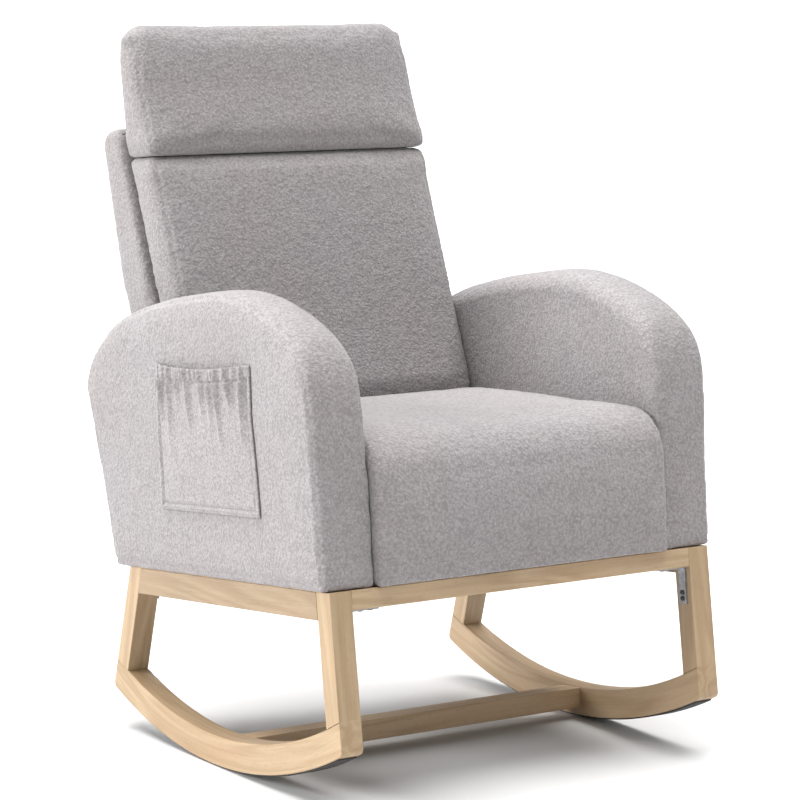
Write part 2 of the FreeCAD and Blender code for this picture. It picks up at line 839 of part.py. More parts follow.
def make_arm_frames(bolt_holes, base_holes, insert_holes):
    """Inside each arm: a plywood side panel, a sill on the side rail, two posts and a top board."""
    front = "(arm_front + panel_inset)"
    floor = "cover_thickness"
    rear_edge = f"({arm_back(floor)} - panel_inset)"
    points = [(front, floor),
              (front, "panel_front_height"),
              ("panel_shoulder", "panel_shoulder_height"),
              ("panel_rise", "panel_rise_height"),
              ("panel_crest_front", "panel_crest_height"),
              ("panel_crest_rear", "panel_crest_height"),
              ("panel_rear", "panel_rear_height"),
              (rear_edge, "panel_front_height"),
              (rear_edge, floor)]
    panel = slab("arm_panel_body", points, "arm_inner + arm_wall + soft_gap / 2", "panel_thickness")
    keep_pair(cut("arm_panel", panel, bolt_holes), "arm_panel")

    inside = "(arm_inner + arm_wall + soft_gap / 2 + panel_thickness)"
    sill_low = f"{RAIL_MIDDLE} - sill_width / 2 - 2 * soft_gap"
    sill = board("arm_sill_board", sill_low, "sill_front", "0", "sill_width",
                 "rear_post_end - sill_front", "sill_height")
    keep_pair(cut("arm_sill", cut("arm_sill_bored", sill, base_holes), insert_holes), "arm_sill")

    tall = "arm_board_top - arm_board_thickness - sill_height"
    posts = {"arm_front_post": ("front_post_start", "front_post_depth"),
             "arm_rear_post": ("rear_post_end - rear_post_depth", "rear_post_depth")}
    for name, (y, depth) in posts.items():
        keep_pair(board(name, inside, y, "sill_height", "post_width", depth, tall), name)
    top_board = board("arm_board", inside, "front_post_start",
                      "arm_board_top - arm_board_thickness", "post_width",
                      "rear_post_end - front_post_start", "arm_board_thickness")
    keep_pair(top_board, "arm_top_board")


# ---------------------------------------------------------------- back

def leaning_slab(name, low, high, depth, x, width, line, offset="0"):
    """A block between two heights whose front face follows one of the leaning lines."""
    points = [(f"{line(low)} + ({offset})", low),
              (f"{line(high)} + ({offset})", high),
              (f"{line(high)} + ({offset}) + ({depth})", high),
              (f"{line(low)} + ({offset}) + ({depth})", low)]
    return slab(name, points, x, width)


def make_back_frame(bolt_holes):
    """Two leaning posts, three rails between them and the elastic webbing across their fronts."""
    outside = "(shell_half_width - shell_wall - soft_gap)"
    inside = f"({outside} - back_post_width)"
    depth = "(back_post_depth / cos(outer_back_angle))"
    post = leaning_slab("back_post_slab", "cover_thickness", "back_post_top", depth, inside,
                        "back_post_width", post_front)
    keep_pair(cut("back_post", post, bolt_holes), "back_post")

    rails = {"back_lower_rail": "frame_top", "back_middle_rail": "back_middle_height",
             "back_top_rail": "back_post_top - back_rail_height"}
    for name, low in rails.items():
        keep(leaning_slab(name, low, f"{low} + back_rail_height", "back_rail_depth",
                          minus(inside), f"2 * {inside}", post_front, "soft_gap"), name)

    bands = []
    for number in range(int(value("webbing_count"))):
        low = f"(webbing_start + {number} * webbing_pitch)"
        bands.append(leaning_slab(f"band{number}", low, f"({low} + webbing_width)",
                                  "webbing_thickness", minus(outside), f"2 * {outside}",
                                  post_front, "-webbing_thickness"))
    keep(group("bands", bands), "back_webbing")


def make_back_shell(bolt_holes):
    """The padded outer back, open to the front and underneath."""
    edge = "soft_gap / 2"
    foot_top = "frame_top + board_thickness"
    middle = "shell_bend"
    points = [(outer_back(edge), edge),
              (outer_back("shell_top"), "shell_top"),
              (f"{outer_back('shell_top')} - shell_top_depth", "shell_top"),
              (f"{cushion_rear('headrest_seam')} + 3 * soft_gap", "headrest_seam"),
              (f"{cushion_rear(middle)} + 3 * soft_gap", middle),
              ("shell_foot", foot_top),
              ("shell_foot", edge)]
    body = slab("back_shell_body", points, "-shell_half_width", "2 * shell_half_width")
    top = value("shell_top")

    def top_corner(edge):
        return side_edge(edge) and all(abs(corner.Z - top) < SAME for corner in edge.Vertexes)

    round_edges(body, "shell_corner", top_corner)
    open_front = face_towards((0, -1, 0), least=0.8)
    open_floor = face_towards((0, 0, -1))
    hollow(body, "shell_wall", lambda face: open_front(face) or open_floor(face))
    keep(cut("back_shell", body, bolt_holes), "back_shell")


def make_back_cushion():
    """The lower back cushion: a closed pad whose light filling is left out as an inner room."""
    low = f"({seat_underside()} + soft_gap)"
    high = "(headrest_seam - soft_gap / 2)"
    body = leaning_slab("cushion_blank", low, high, "cushion_depth", "-cushion_half_width",
                        "2 * cushion_half_width", cushion_front)
    front = [value(cushion_front(height)) for height in (low, high)]

    def front_upright(edge):
        ends = sorted(edge.Vertexes, key=lambda corner: corner.Z)
        return side_edge(edge) and all(abs(corner.Y - y) < SAME for corner, y in zip(ends, front))

    round_edges(body, "cushion_edge", front_upright)
    room = leaning_slab("cushion_room", f"({low} + cushion_rim)", f"({high} - cushion_rim)",
                        "cushion_depth - 2 * cushion_wall", "cushion_rim - cushion_half_width",
                        "2 * (cushion_half_width - cushion_rim)", cushion_front, "cushion_wall")
    keep(cut("cushion_pad", body, room), "back_cushion")


def make_headrest():
    """The headrest section that carries on above the back cushion, a closed pad like it."""
    low = "(headrest_seam + soft_gap / 2)"
    front_low = f"({cushion_front(low)} - 3 * soft_gap)"
    top_rear = "(headrest_top_front + headrest_top_depth)"
    points = [(front_low, low),
              ("headrest_top_front", "headrest_top"),
              (top_rear, "headrest_top"),
              (cushion_rear(low), low)]
    body = slab("headrest_blank", points, "-cushion_half_width", "2 * cushion_half_width")
    round_edges(body, "headrest_roll", edge_at(*points[1]))
    top = value("headrest_top")

    def top_corner(edge):
        ends = [corner.Z for corner in edge.Vertexes]
        return side_edge(edge) and all(abs(end - top) < SAME for end in ends)

    round_edges(body, "headrest_corner", top_corner)
    floor = f"({low} + cushion_rim)"
    roof = "(headrest_top - cushion_rim)"
    inside = [(f"{front_low} + 2 * cushion_wall", floor),
              ("headrest_top_front + cushion_wall", roof),
              (f"{top_rear} - cushion_wall", roof),
              (f"{cushion_rear(low)} - cushion_wall", floor)]
    room = slab("headrest_room", inside, "cushion_rim - cushion_half_width",
                "2 * (cushion_half_width - cushion_rim)")
    keep(cut("headrest_pad", body, room), "headrest")


# ---------------------------------------------------------------- bolts of the body

def ring(name, spot, axis, inner, outer, length):
    """A washer, a nut or a sleeve: a round ring from a spot along an axis."""
    hole = rod(name + "_hole", moved(spot, axis, "-1"), axis, inner, f"{length} + 2")
    return cut(name, rod(name + "_disc", spot, axis, outer, length), hole)


def make_base_bolts():
    """Bolts up through the side rails and the sills, sunk in the rails, with washers and inserts."""
    bolts, washers, inserts = [], [], []
    inner = "bolt_radius + hole_clearance"
    reach = "side_rail_height + sill_height + 4 * washer_thickness - bolt_recess"
    for index, (spot, axis) in enumerate(base_bolt_spots()):
        under = moved(spot, axis, "bolt_recess - washer_thickness")
        bolts.append(headed(f"base_bolt{index}", under, axis, "bolt_radius", reach,
                            "bolt_head_radius", "bolt_head_height"))
        washers.append(ring(f"washer{index}", under, axis, inner, "washer_radius",
                            "washer_thickness"))
        top = moved(spot, axis, "side_rail_height + sill_height")
        flange = rod(f"insert{index}_flange", top, axis, "washer_radius", "washer_thickness")
        sleeve = rod(f"insert{index}_sleeve", moved(top, axis, "-insert_depth"), axis,
                     "insert_radius", "insert_depth")
        bore = rod(f"insert{index}_bore", moved(top, axis, "-insert_depth - 1"), axis, inner,
                   "insert_depth + washer_thickness + 2")
        inserts.append(cut(f"insert{index}", fuse(f"insert{index}_blank", [flange, sleeve]), bore))
    keep(both_sides("base_bolt_set", bolts), "base_bolts")
    keep(both_sides("washers", washers), "base_washers")
    keep(both_sides("inserts", inserts), "threaded_inserts")


def make_frame_bolts():
    """The bolts that pull the arms against the seat frame and the back posts, and their nuts."""
    nuts = []
    face = "(arm_inner + arm_wall + soft_gap / 2 + panel_thickness)"
    for name, spots, length in (("arm_bolts", arm_bolt_spots(), "arm_bolt_length"),
                                ("back_bolts", back_bolt_spots(), "back_bolt_length")):
        bolts = []
        for index, (spot, axis) in enumerate(spots):
            bolts.append(headed(f"{name}{index}", spot, axis, "bolt_radius", length,
                                "bolt_head_radius", "bolt_head_height"))
            nuts.append(ring(f"{name}_nut{index}", (face,) + spot[1:], axis,
                             "bolt_radius + hole_clearance", "nut_radius", "nut_height"))
        keep(both_sides(name + "_set", bolts), name)
    keep(both_sides("nuts", nuts), "frame_nuts")


# ---------------------------------------------------------------- pockets

def make_pockets():
    """A flat pouch sewn on the outside of each arm, open at the top, with an elastic in its hem."""
    pouch = board("pocket_pouch", "arm_outer", "pocket_front", "pocket_low", "pocket_depth",
                  "pocket_length", "pocket_height")
    upwards = face_towards((0, 0, 1))
    towards_arm = face_towards((-1, 0, 0))
    hollow(pouch, "pocket_wall", lambda face: upwards(face) or towards_arm(face))
    keep_pair(pouch, "pocket")
    elastic = board("elastic", "arm_outer + pocket_depth - pocket_wall - elastic_thickness",
                    "pocket_front + pocket_wall + soft_gap",
                    "pocket_low + pocket_height - 2 * elastic_height", "elastic_thickness",
                    "pocket_length - 2 * (pocket_wall + soft_gap)", "elastic_height")
    keep_pair(elastic, "pocket_elastic")


def make_chair():
    dowel_holes = end_bores("dowel_holes", list(dowel_spots()), "dowel_radius", "dowel_length")
    screw_holes = bores("screw_holes", list(screw_spots()), "screw_radius",
                        "screw_length + hole_clearance")
    through = "side_rail_height + sill_height + 6 * washer_thickness"
    base_holes = bores("base_holes", list(base_bolt_spots()), "bolt_radius", through)
    sinks = [(moved(spot, axis, "-soft_gap"), axis) for spot, axis in base_bolt_spots()]
    sink_holes = bores("sink_holes", sinks, "washer_radius", "bolt_recess + soft_gap")
    rail_holes = group("rail_holes", [base_holes, sink_holes])
    insert_spots = [(moved(spot, axis, "side_rail_height + sill_height - insert_depth"), axis)
                    for spot, axis in base_bolt_spots()]
    insert_holes = bores("insert_holes", insert_spots, "insert_radius", "insert_depth + 1")
    arm_holes = bores("arm_holes", list(arm_bolt_spots()), "bolt_radius", "arm_bolt_length")
    back_holes = bores("back_holes", list(back_bolt_spots()), "bolt_radius", "back_bolt_length")
    body_holes = group("body_holes", [arm_holes, back_holes])

    make_legs(dowel_holes, screw_holes)
    make_rockers(dowel_holes)
    make_grips()
    make_rails(dowel_holes, screw_holes, rail_holes)
    make_dowels()
    make_braces(screw_holes)
    make_screws()
    make_seat_frame(body_holes)
    make_springs()
    make_clips()
    make_seat()
    make_arm_pads(body_holes)
    make_arm_frames(body_holes, base_holes, insert_holes)
    make_back_frame(body_holes)
    make_back_shell(body_holes)
    make_back_cushion()
    make_headrest()
    make_base_bolts()
    make_frame_bolts()
    make_pockets()
    doc.recompute()


def lean_back():
    """Leans every piece on the rockers and puts the origin under the middle of the box."""
    turn = FreeCAD.Rotation(FreeCAD.Vector(1, 0, 0), -value("lean_angle"))
    for piece in pieces:
        piece.Placement = FreeCAD.Placement(FreeCAD.Vector(), turn)
    doc.recompute()
    reach = Part.makeCompound([piece.Shape for piece in pieces]).optimalBoundingBox(False)
    shift = FreeCAD.Vector(0, -(reach.YMin + reach.YMax) / 2, -reach.ZMin)
    for piece in pieces:
        piece.Placement = FreeCAD.Placement(shift, turn)
    doc.recompute()


def check_all():
    """Stops if any object failed, or if a sub-part's shape is empty or broken."""
    for thing in doc.Objects:
        if "Invalid" in thing.State or "Error" in thing.State:
            raise ValueError(f"{thing.Name} ({thing.Label}) is {thing.State}")
    for piece in pieces + mirrored:
        if piece.Shape.isNull() or not piece.Shape.isValid() or not piece.Shape.Solids:
            raise ValueError(f"{piece.Label} has no valid shape")


def write_parts():
    os.makedirs("parts", exist_ok=True)
    for piece in pieces + mirrored:
        piece.Shape.exportStep(f"parts/{piece.Label}.step")


make_chair()
lean_back()
check_all()
write_parts()
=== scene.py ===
import json
import math
import random

import bmesh
import bpy
import numpy as np
from mathutils import Matrix, Vector, noise
from mathutils.bvhtree import BVHTree
from mathutils.kdtree import KDTree

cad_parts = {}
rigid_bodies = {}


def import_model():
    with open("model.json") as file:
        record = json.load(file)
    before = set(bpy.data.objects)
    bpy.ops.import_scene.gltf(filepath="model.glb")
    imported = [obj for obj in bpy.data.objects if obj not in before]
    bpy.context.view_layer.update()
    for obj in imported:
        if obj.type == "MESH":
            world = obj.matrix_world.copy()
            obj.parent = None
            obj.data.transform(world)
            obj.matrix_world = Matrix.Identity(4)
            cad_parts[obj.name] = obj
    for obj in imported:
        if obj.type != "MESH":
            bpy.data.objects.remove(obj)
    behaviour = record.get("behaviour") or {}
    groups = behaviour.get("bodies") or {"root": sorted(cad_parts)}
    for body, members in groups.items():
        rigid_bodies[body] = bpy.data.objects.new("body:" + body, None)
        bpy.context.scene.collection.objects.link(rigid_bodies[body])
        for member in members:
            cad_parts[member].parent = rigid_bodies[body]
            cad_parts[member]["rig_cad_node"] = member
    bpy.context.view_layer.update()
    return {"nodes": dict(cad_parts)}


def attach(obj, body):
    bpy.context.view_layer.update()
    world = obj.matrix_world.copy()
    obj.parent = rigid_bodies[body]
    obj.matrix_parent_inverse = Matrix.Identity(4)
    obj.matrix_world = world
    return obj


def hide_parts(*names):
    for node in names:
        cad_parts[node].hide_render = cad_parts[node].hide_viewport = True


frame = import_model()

# The upholstered rocking chair. Soft pieces are drawn in the chair's own square frame, in
# millimetres: x across, s backwards along the side rails, h up from their tops. leaned() turns that
# into the row frame, in metres, with the lean that the chair has at rest on its rockers.

MM = 0.001
LEAN = math.radians(5.43)
RAIL_CORNER = (-0.372775, 0.301725)  # y and z of s = 0, h = 0
SIDES = {"left": 1, "right": -1}

# The arm's outline over its front, top and back, as (s, h).
ARM_CREST = [(1, 200), (5, 266), (13, 296), (23, 316), (39, 335), (79, 361), (139, 385),
             (210, 402), (318, 403), (403, 397), (491, 384), (547, 370), (600, 342),
             (631, 305), (643, 268), (637, 226)]
ARM_REAR_FOOT = 594
ARM_INNER = 245
ARM_OUTER_AT = ([0, 130, 227, 270, 316, 400], [330, 332, 335, 337, 335, 330])  # h, then x
ARM_WALL = 13
ARM_ROOM_OUTER = 321.4
SEAT_HALF = 243.4
SEAT_UNDERSIDE = 122
BACK_HALF = 242
PAD_HALF = BACK_HALF + 6
PAD_FOOT = 124
PAD_DEPTH = 78
SEAM_HEIGHT = 602
SEAM_GAP = 0.4
CLEAR = 0.6  # soft pieces stop this far above the wood
FLOOR_CUT = 6  # rooms that are open underneath reach this far below the rails' tops

VOXEL = 6
SHELL_VOXEL = 7
SOFT_STEPS = 20  # frames of cloth simulation
PRESSURE = 4.0
PULL = 0.2  # share kept of a move inwards
SLACK = 0.4  # share of the move that the cloth decides
SWELL = 0.45  # the even swell, as a share of the cap


# ------------------------------------------------------------------ frames and curves

def leaned(points):
    """Points (x, s, h) in millimetres as row frame points in metres."""
    x, s, h = np.asarray(points, float).T
    y = s * math.cos(LEAN) + h * math.sin(LEAN)
    z = -s * math.sin(LEAN) + h * math.cos(LEAN)
    return np.column_stack([x * MM, y * MM + RAIL_CORNER[0], z * MM + RAIL_CORNER[1]])


def squared(points):
    """The other way: row frame metres as (x, s, h) in millimetres."""
    x, y, z = np.asarray(points, float).T
    y = (y - RAIL_CORNER[0]) / MM
    z = (z - RAIL_CORNER[1]) / MM
    s = y * math.cos(LEAN) - z * math.sin(LEAN)
    h = y * math.sin(LEAN) + z * math.cos(LEAN)
    return np.column_stack([x / MM, s, h])


def evenly(curve, count):
    """An open curve as count points at even steps along it."""
    steps = np.linalg.norm(np.diff(curve, axis=0), axis=1)
    along = np.concatenate([[0], np.cumsum(steps)])
    wanted = np.linspace(0, along[-1], count)
    return np.column_stack([np.interp(wanted, along, curve[:, k]) for k in range(curve.shape[1])])


def through(points, count):
    """A smooth open curve through points: a natural cubic spline over their chord lengths."""
    knots = np.asarray(points, float)
    steps = np.linalg.norm(np.diff(knots, axis=0), axis=1)
    along = np.concatenate([[0], np.cumsum(steps)])
    size = len(along)
    system = np.eye(size)
    bends = np.zeros_like(knots)
    for i in range(1, size - 1):
        system[i, i - 1:i + 2] = steps[i - 1], 2 * (steps[i - 1] + steps[i]), steps[i]
        bends[i] = 6 * ((knots[i + 1] - knots[i]) / steps[i]
                        - (knots[i] - knots[i - 1]) / steps[i - 1])
    bends = np.linalg.solve(system, bends)
    fine = np.linspace(0, along[-1], 20 * count)
    k = np.clip(np.searchsorted(along, fine, side="right") - 1, 0, size - 2)
    a = ((along[k + 1] - fine) / steps[k])[:, None]
    b = 1 - a
    sixth = (steps[k] ** 2 / 6)[:, None]
    curve = (a * knots[k] + b * knots[k + 1]
             + (a ** 3 - a) * sixth * bends[k] + (b ** 3 - b) * sixth * bends[k + 1])
    return evenly(curve, count)


def rounded(corners, count):
    """A closed outline from (s, h, radius) corners, as count points at even steps."""
    path = []
    for i, (s, h, radius) in enumerate(corners):
        corner = np.array([s, h], float)
        before = np.array(corners[i - 1][:2], float) - corner
        after = np.array(corners[(i + 1) % len(corners)][:2], float) - corner
        before /= np.linalg.norm(before)
        after /= np.linalg.norm(after)
        half = math.acos(max(-1, min(1, float(before @ after)))) / 2
        reach = radius / math.tan(half)
        middle = before + after
        middle /= np.linalg.norm(middle)
        centre = corner + middle * radius / math.sin(half)
        first, last = corner + before * reach, corner + after * reach
        for share in np.linspace(0, 1, 13):
            arm = (first - centre) * (1 - share) + (last - centre) * share
            size = np.linalg.norm(arm)
            path.append(centre + arm * (radius / size if size > 0 else 0))
    path.append(path[0])
    return evenly(np.array(path), count + 1)[:-1]


def inward(outline):
    """Unit normals of a closed outline that point to its inside."""
    ahead = np.roll(outline, -1, axis=0) - np.roll(outline, 1, axis=0)
    ahead /= np.linalg.norm(ahead, axis=1)[:, None]
    turned = np.column_stack([-ahead[:, 1], ahead[:, 0]])
    s, h = outline.T
    area = np.sum(s * np.roll(h, -1) - h * np.roll(s, -1))
    return turned if area > 0 else -turned


def ease(value, low, high):
    """A smooth step from 0 at low to 1 at high."""
    share = np.clip((np.asarray(value, float) - low) / (high - low), 0, 1)
    return share * share * (3 - 2 * share)


# ------------------------------------------------------------------ meshes

def new_object(name, verts, faces):
    mesh = bpy.data.meshes.new(name)
    mesh.from_pydata([tuple(v) for v in verts], [], [tuple(f) for f in faces])
    mesh.update()
    made = bpy.data.objects.new(name, mesh)
    bpy.context.scene.collection.objects.link(made)
    return made


def closed(name, verts, faces):
    """A new object whose faces all look outwards."""
    made = new_object(name, verts, faces)
    mend = bmesh.new()
    mend.from_mesh(made.data)
    bmesh.ops.recalc_face_normals(mend, faces=mend.faces)
    mend.to_mesh(made.data)
    mend.free()
    return made


def tube(base, rings, count):
    """Faces between rings of count points each, the first of them point number base."""
    faces = []
    for ring in range(rings - 1):
        low = base + ring * count
        high = low + count
        for i in range(count):
            j = (i + 1) % count
            faces.append((low + i, low + j, high + j, high + i))
    return faces


def ended_tube(base, rings, count):
    """The same, with a flat face at each end."""
    last = base + (rings - 1) * count
    return tube(base, rings, count) + [tuple(range(base, base + count))[::-1],
                                       tuple(range(last, last + count))]


def loft(name, rings):
    """A closed mesh over rings of equal counts, capped with a fan at each end."""
    count = len(rings[0])
    verts = np.concatenate(rings)
    faces = tube(0, len(rings), count)
    caps = [rings[0].mean(axis=0), rings[-1].mean(axis=0)]
    tips = [len(verts), len(verts) + 1]
    top = (len(rings) - 1) * count
    for i in range(count):
        j = (i + 1) % count
        faces.append((tips[0], j, i))
        faces.append((tips[1], top + i, top + j))
    return closed(name, np.concatenate([verts, caps]), faces)


def across(outline, low, high, soft_low, soft_high, shrink):
    """Rings of a pad with a side outline, between two x planes, with rounded rims.

    low and high may change from point to point, as may the radii of the two rims. The pad is drawn
    shrink mm small all round, for the swelling to fill.
    """
    normals = inward(outline)
    outline = outline + normals * shrink
    one = np.ones(len(outline))
    low, high, soft_low, soft_high = (one * v for v in (low, high, soft_low, soft_high))
    low = low + shrink
    high = high - shrink
    rings = []
    turns = np.linspace(0, math.pi / 2, 7)
    for edge, soft, way, order in ((low, soft_low, 1, turns), (high, soft_high, -1, turns[::-1])):
        for turn in order:
            x = edge + way * soft * (1 - math.cos(turn))
            ring = outline + normals * (soft * (1 - math.sin(turn)))[:, None]
            rings.append(leaned(np.column_stack([x, ring])))
    return rings


def apply_modifiers(made):
    bpy.context.view_layer.update()
    graph = bpy.context.evaluated_depsgraph_get()
    final = bpy.data.meshes.new_from_object(made.evaluated_get(graph))
    old = made.data
    made.modifiers.clear()
    made.data = final
    bpy.data.meshes.remove(old)


def remesh(made, voxel):
    step = made.modifiers.new("Remesh", "REMESH")
    step.mode = "VOXEL"
    step.voxel_size = voxel * MM
    apply_modifiers(made)


def relax(made, rounds):
    step = made.modifiers.new("Relax", "SMOOTH")
    step.factor = 0.5
    step.iterations = rounds
    apply_modifiers(made)


def subdivide(made):
    step = made.modifiers.new("Finer", "SUBSURF")
    step.levels = 1
    step.render_levels = 1
    apply_modifiers(made)


def places(made):
    co = np.empty(len(made.data.vertices) * 3)
    made.data.vertices.foreach_get("co", co)
    return co.reshape(-1, 3)


def normals_of(made):
    normals = np.empty(len(made.data.vertices) * 3)
    made.data.vertex_normals.foreach_get("vector", normals)
    return normals.reshape(-1, 3)


def place(made, co):
    made.data.vertices.foreach_set("co", np.asarray(co, float).ravel())
    made.data.update()


def smooth(made):
    made.data.polygons.foreach_set("use_smooth", [True] * len(made.data.polygons))
    made.data.update()
    return made


def inflate(made, cap, free):
    """Fills a closed mesh like a cushion: cloth under pressure, no point moving more than cap mm.

    free gives each point's share of its move, from 0, where it rests on something, to 1. The foam
    inside keeps the rims from being drawn in, and holds the cloth out evenly, so inward moves are
    cut to PULL of their size, and the cloth decides only SLACK of the move.
    """
    start = places(made)
    normals = normals_of(made)
    even = normals * cap * MM * SWELL
    cloth = made.modifiers.new("Cloth", "CLOTH")
    cloth.settings.use_pressure = True
    cloth.settings.uniform_pressure_force = PRESSURE
    cloth.settings.effector_weights.gravity = 0
    cloth.point_cache.frame_start = 1
    cloth.point_cache.frame_end = SOFT_STEPS
    for step in range(1, SOFT_STEPS + 1):
        bpy.context.scene.frame_set(step)
    apply_modifiers(made)
    bpy.context.scene.frame_set(1)
    moved = places(made)
    move = moved - start
    drawn_in = np.minimum(np.sum(move * normals, axis=1), 0)
    move -= normals * (drawn_in * (1 - PULL))[:, None]
    size = np.linalg.norm(move, axis=1)
    limit = cap * MM
    soft = limit * np.tanh(size / limit)
    move *= (soft / np.maximum(size, 1e-9))[:, None]
    move = SLACK * move + (1 - SLACK) * even
    move *= free(*squared(start).T)[:, None]
    place(made, start + move)


def near(made, line):
    """Each point's distance in mm from a row frame polyline, given as close points."""
    tree = KDTree(len(line))
    for index, spot in enumerate(line):
        tree.insert(spot, index)
    tree.balance()
    return np.array([tree.find(v)[2] for v in places(made)]) / MM


def onto(made, line):
    """The line's points, moved to the nearest place on the mesh."""
    tree = BVHTree.FromObject(made, bpy.context.evaluated_depsgraph_get())
    return np.array([tree.find_nearest(Vector(spot))[0] for spot in line])


def seam(made, line, depth, width, swell):
    """Presses a sewn seam along a line: a groove with the cloth swelling on both sides of it."""
    off = near(made, onto(made, line))
    dip = -depth * np.exp(-(off / width) ** 2) + swell * np.exp(-((off - 2.4 * width) / width) ** 2)
    place(made, places(made) + normals_of(made) * (dip * MM)[:, None])


def settle(co):
    """Sits a pad's rounded foot down on the wood: the lowest heights are pressed together."""
    reach = 10
    rise = np.maximum(co[:, 2] - CLEAR, 0)
    co[:, 2] = CLEAR + np.where(rise < reach, rise ** 2 / reach, rise)


def square_off(made, way, at):
    """Makes the upright corner between a pad's front and its side plane, x = at, a tight one.

    Points round the corner go to the front's own plane or to the side's, whichever they face.
    way is 1 or -1, the side that the plane faces.
    """
    height = 170
    zone = 13
    co = squared(places(made))
    normals = normals_of(made)
    ahead = normals[:, 2] * math.sin(LEAN) - normals[:, 1] * math.cos(LEAN)
    aside = normals[:, 0] * way
    inset = (at - co[:, 0]) * way
    flat = (inset > zone) & (inset < 2 * zone) & (ahead > 0.9)
    levels = np.arange(4, height, 6)
    fronts = [np.median(co[flat & (np.abs(co[:, 2] - level) < 5), 1]) for level in levels]
    front = np.interp(co[:, 2], levels, fronts)
    corner = (inset < zone) & (co[:, 1] < front + zone) & (co[:, 2] < height)
    share = 0.85 * (1 - ease(co[:, 2], height - 40, height)) * corner
    co[:, 1] += (front - co[:, 1]) * share * (ahead >= aside)
    co[:, 0] += way * inset * share * (ahead < aside)
    place(made, leaned(co))


def boucle_relief(made, seed):
    """Lumps of looped yarn pressed up out of the surface, as real geometry."""
    tex = bpy.data.textures.new("curls", "CLOUDS")
    tex.noise_scale = 8.0 * MM
    tex.noise_depth = 1
    shift = bpy.data.objects.new("curl_origin", None)
    bpy.context.scene.collection.objects.link(shift)
    shift.location = (0.37 * seed, 0.21 * seed, 0.13 * seed)
    step = made.modifiers.new("Curls", "DISPLACE")
    step.texture = tex
    step.texture_coords = "OBJECT"
    step.texture_coords_object = shift
    step.strength = 1.2 * MM
    step.mid_level = 0.5
    apply_modifiers(made)
    bpy.data.objects.remove(shift)
    bpy.data.textures.remove(tex)


def room(made, outline, low, high):
    """Hollows a piece: takes out a block with a side outline, between two x planes in mm."""
    rings = [leaned(np.column_stack([np.full(len(outline), x), outline])) for x in (low, high)]
    block = loft("room", rings)
    step = made.modifiers.new("Room", "BOOLEAN")
    step.operation = "DIFFERENCE"
    step.object = block
    step.solver = "MANIFOLD"
    apply_modifiers(made)
    bpy.data.objects.remove(block)


def mirrored(made, name):
    """The same piece on the other side of the chair."""
    mesh = made.data.copy()
    other = bpy.data.objects.new(name, mesh)
    bpy.context.scene.collection.objects.link(other)
    mesh.transform(Matrix.Diagonal((-1, 1, 1, 1)))
    mesh.flip_normals()
    return other


# ------------------------------------------------------------------ materials

def material(name):
    made = bpy.data.materials.new(name)
    made.use_nodes = True
    return made, Web(made.node_tree)


class Web:
    """Short ways to add and join shader nodes."""

    def __init__(self, tree):
        self.tree = tree
        self.shader = tree.nodes["Principled BSDF"]

    def node(self, kind, inputs=None, **settings):
        made = self.tree.nodes.new(kind)
        for key, value in settings.items():
            setattr(made, key, value)
        for key, value in (inputs or {}).items():
            self.feed(made.inputs[key], value)
        return made

    def feed(self, socket, value):
        if isinstance(value, bpy.types.NodeSocket):
            self.tree.links.new(value, socket)
        else:
            socket.default_value = value

    def math(self, operation, a, b=0.0, clamp=False):
        return self.node("ShaderNodeMath", {0: a, 1: b}, operation=operation,
                         use_clamp=clamp).outputs[0]

    def place(self):
        return self.node("ShaderNodeTexCoord").outputs["Object"]

    def noise(self, vector, scale, detail=2.0, rough=0.5, distortion=0.0):
        return self.node("ShaderNodeTexNoise", {"Vector": vector, "Scale": scale, "Detail": detail,
                                                "Roughness": rough, "Distortion": distortion})

    def cells(self, vector, scale, feature):
        return self.node("ShaderNodeTexVoronoi", {"Vector": vector, "Scale": scale},
                         feature=feature).outputs["Distance"]

    def scaled(self, vector, scale):
        return self.node("ShaderNodeMapping", {"Vector": vector, "Scale": scale},
                         vector_type="POINT").outputs[0]

    def spread(self, value, low, high, to_low=0.0, to_high=1.0):
        return self.node("ShaderNodeMapRange", {"Value": value, "From Min": low, "From Max": high,
                                                "To Min": to_low, "To Max": to_high}).outputs[0]

    def mix(self, share, first, second, blend="MIX"):
        made = self.node("ShaderNodeMix", data_type="RGBA", blend_type=blend)
        self.feed(made.inputs[0], share)
        self.feed(made.inputs[6], first)
        self.feed(made.inputs[7], second)
        return made.outputs[2]

    def bump(self, height, distance, strength, normal=None):
        inputs = {"Height": height, "Distance": distance, "Strength": strength}
        if normal is not None:
            inputs["Normal"] = normal
        return self.node("ShaderNodeBump", inputs).outputs[0]

    def finish(self, colour, roughness, normal=None, **constants):
        self.feed(self.shader.inputs["Base Color"], colour)
        self.feed(self.shader.inputs["Roughness"], roughness)
        if normal is not None:
            self.feed(self.shader.inputs["Normal"], normal)
        for key, value in constants.items():
            self.shader.inputs[key.replace("_", " ")].default_value = value


def rgb(red, green, blue):
    """A shader colour from the three 0 to 255 values that a screen shows."""
    def linear(part):
        part /= 255
        return part / 12.92 if part <= 0.04045 else ((part + 0.055) / 1.055) ** 2.4
    return linear(red), linear(green), linear(blue), 1.0


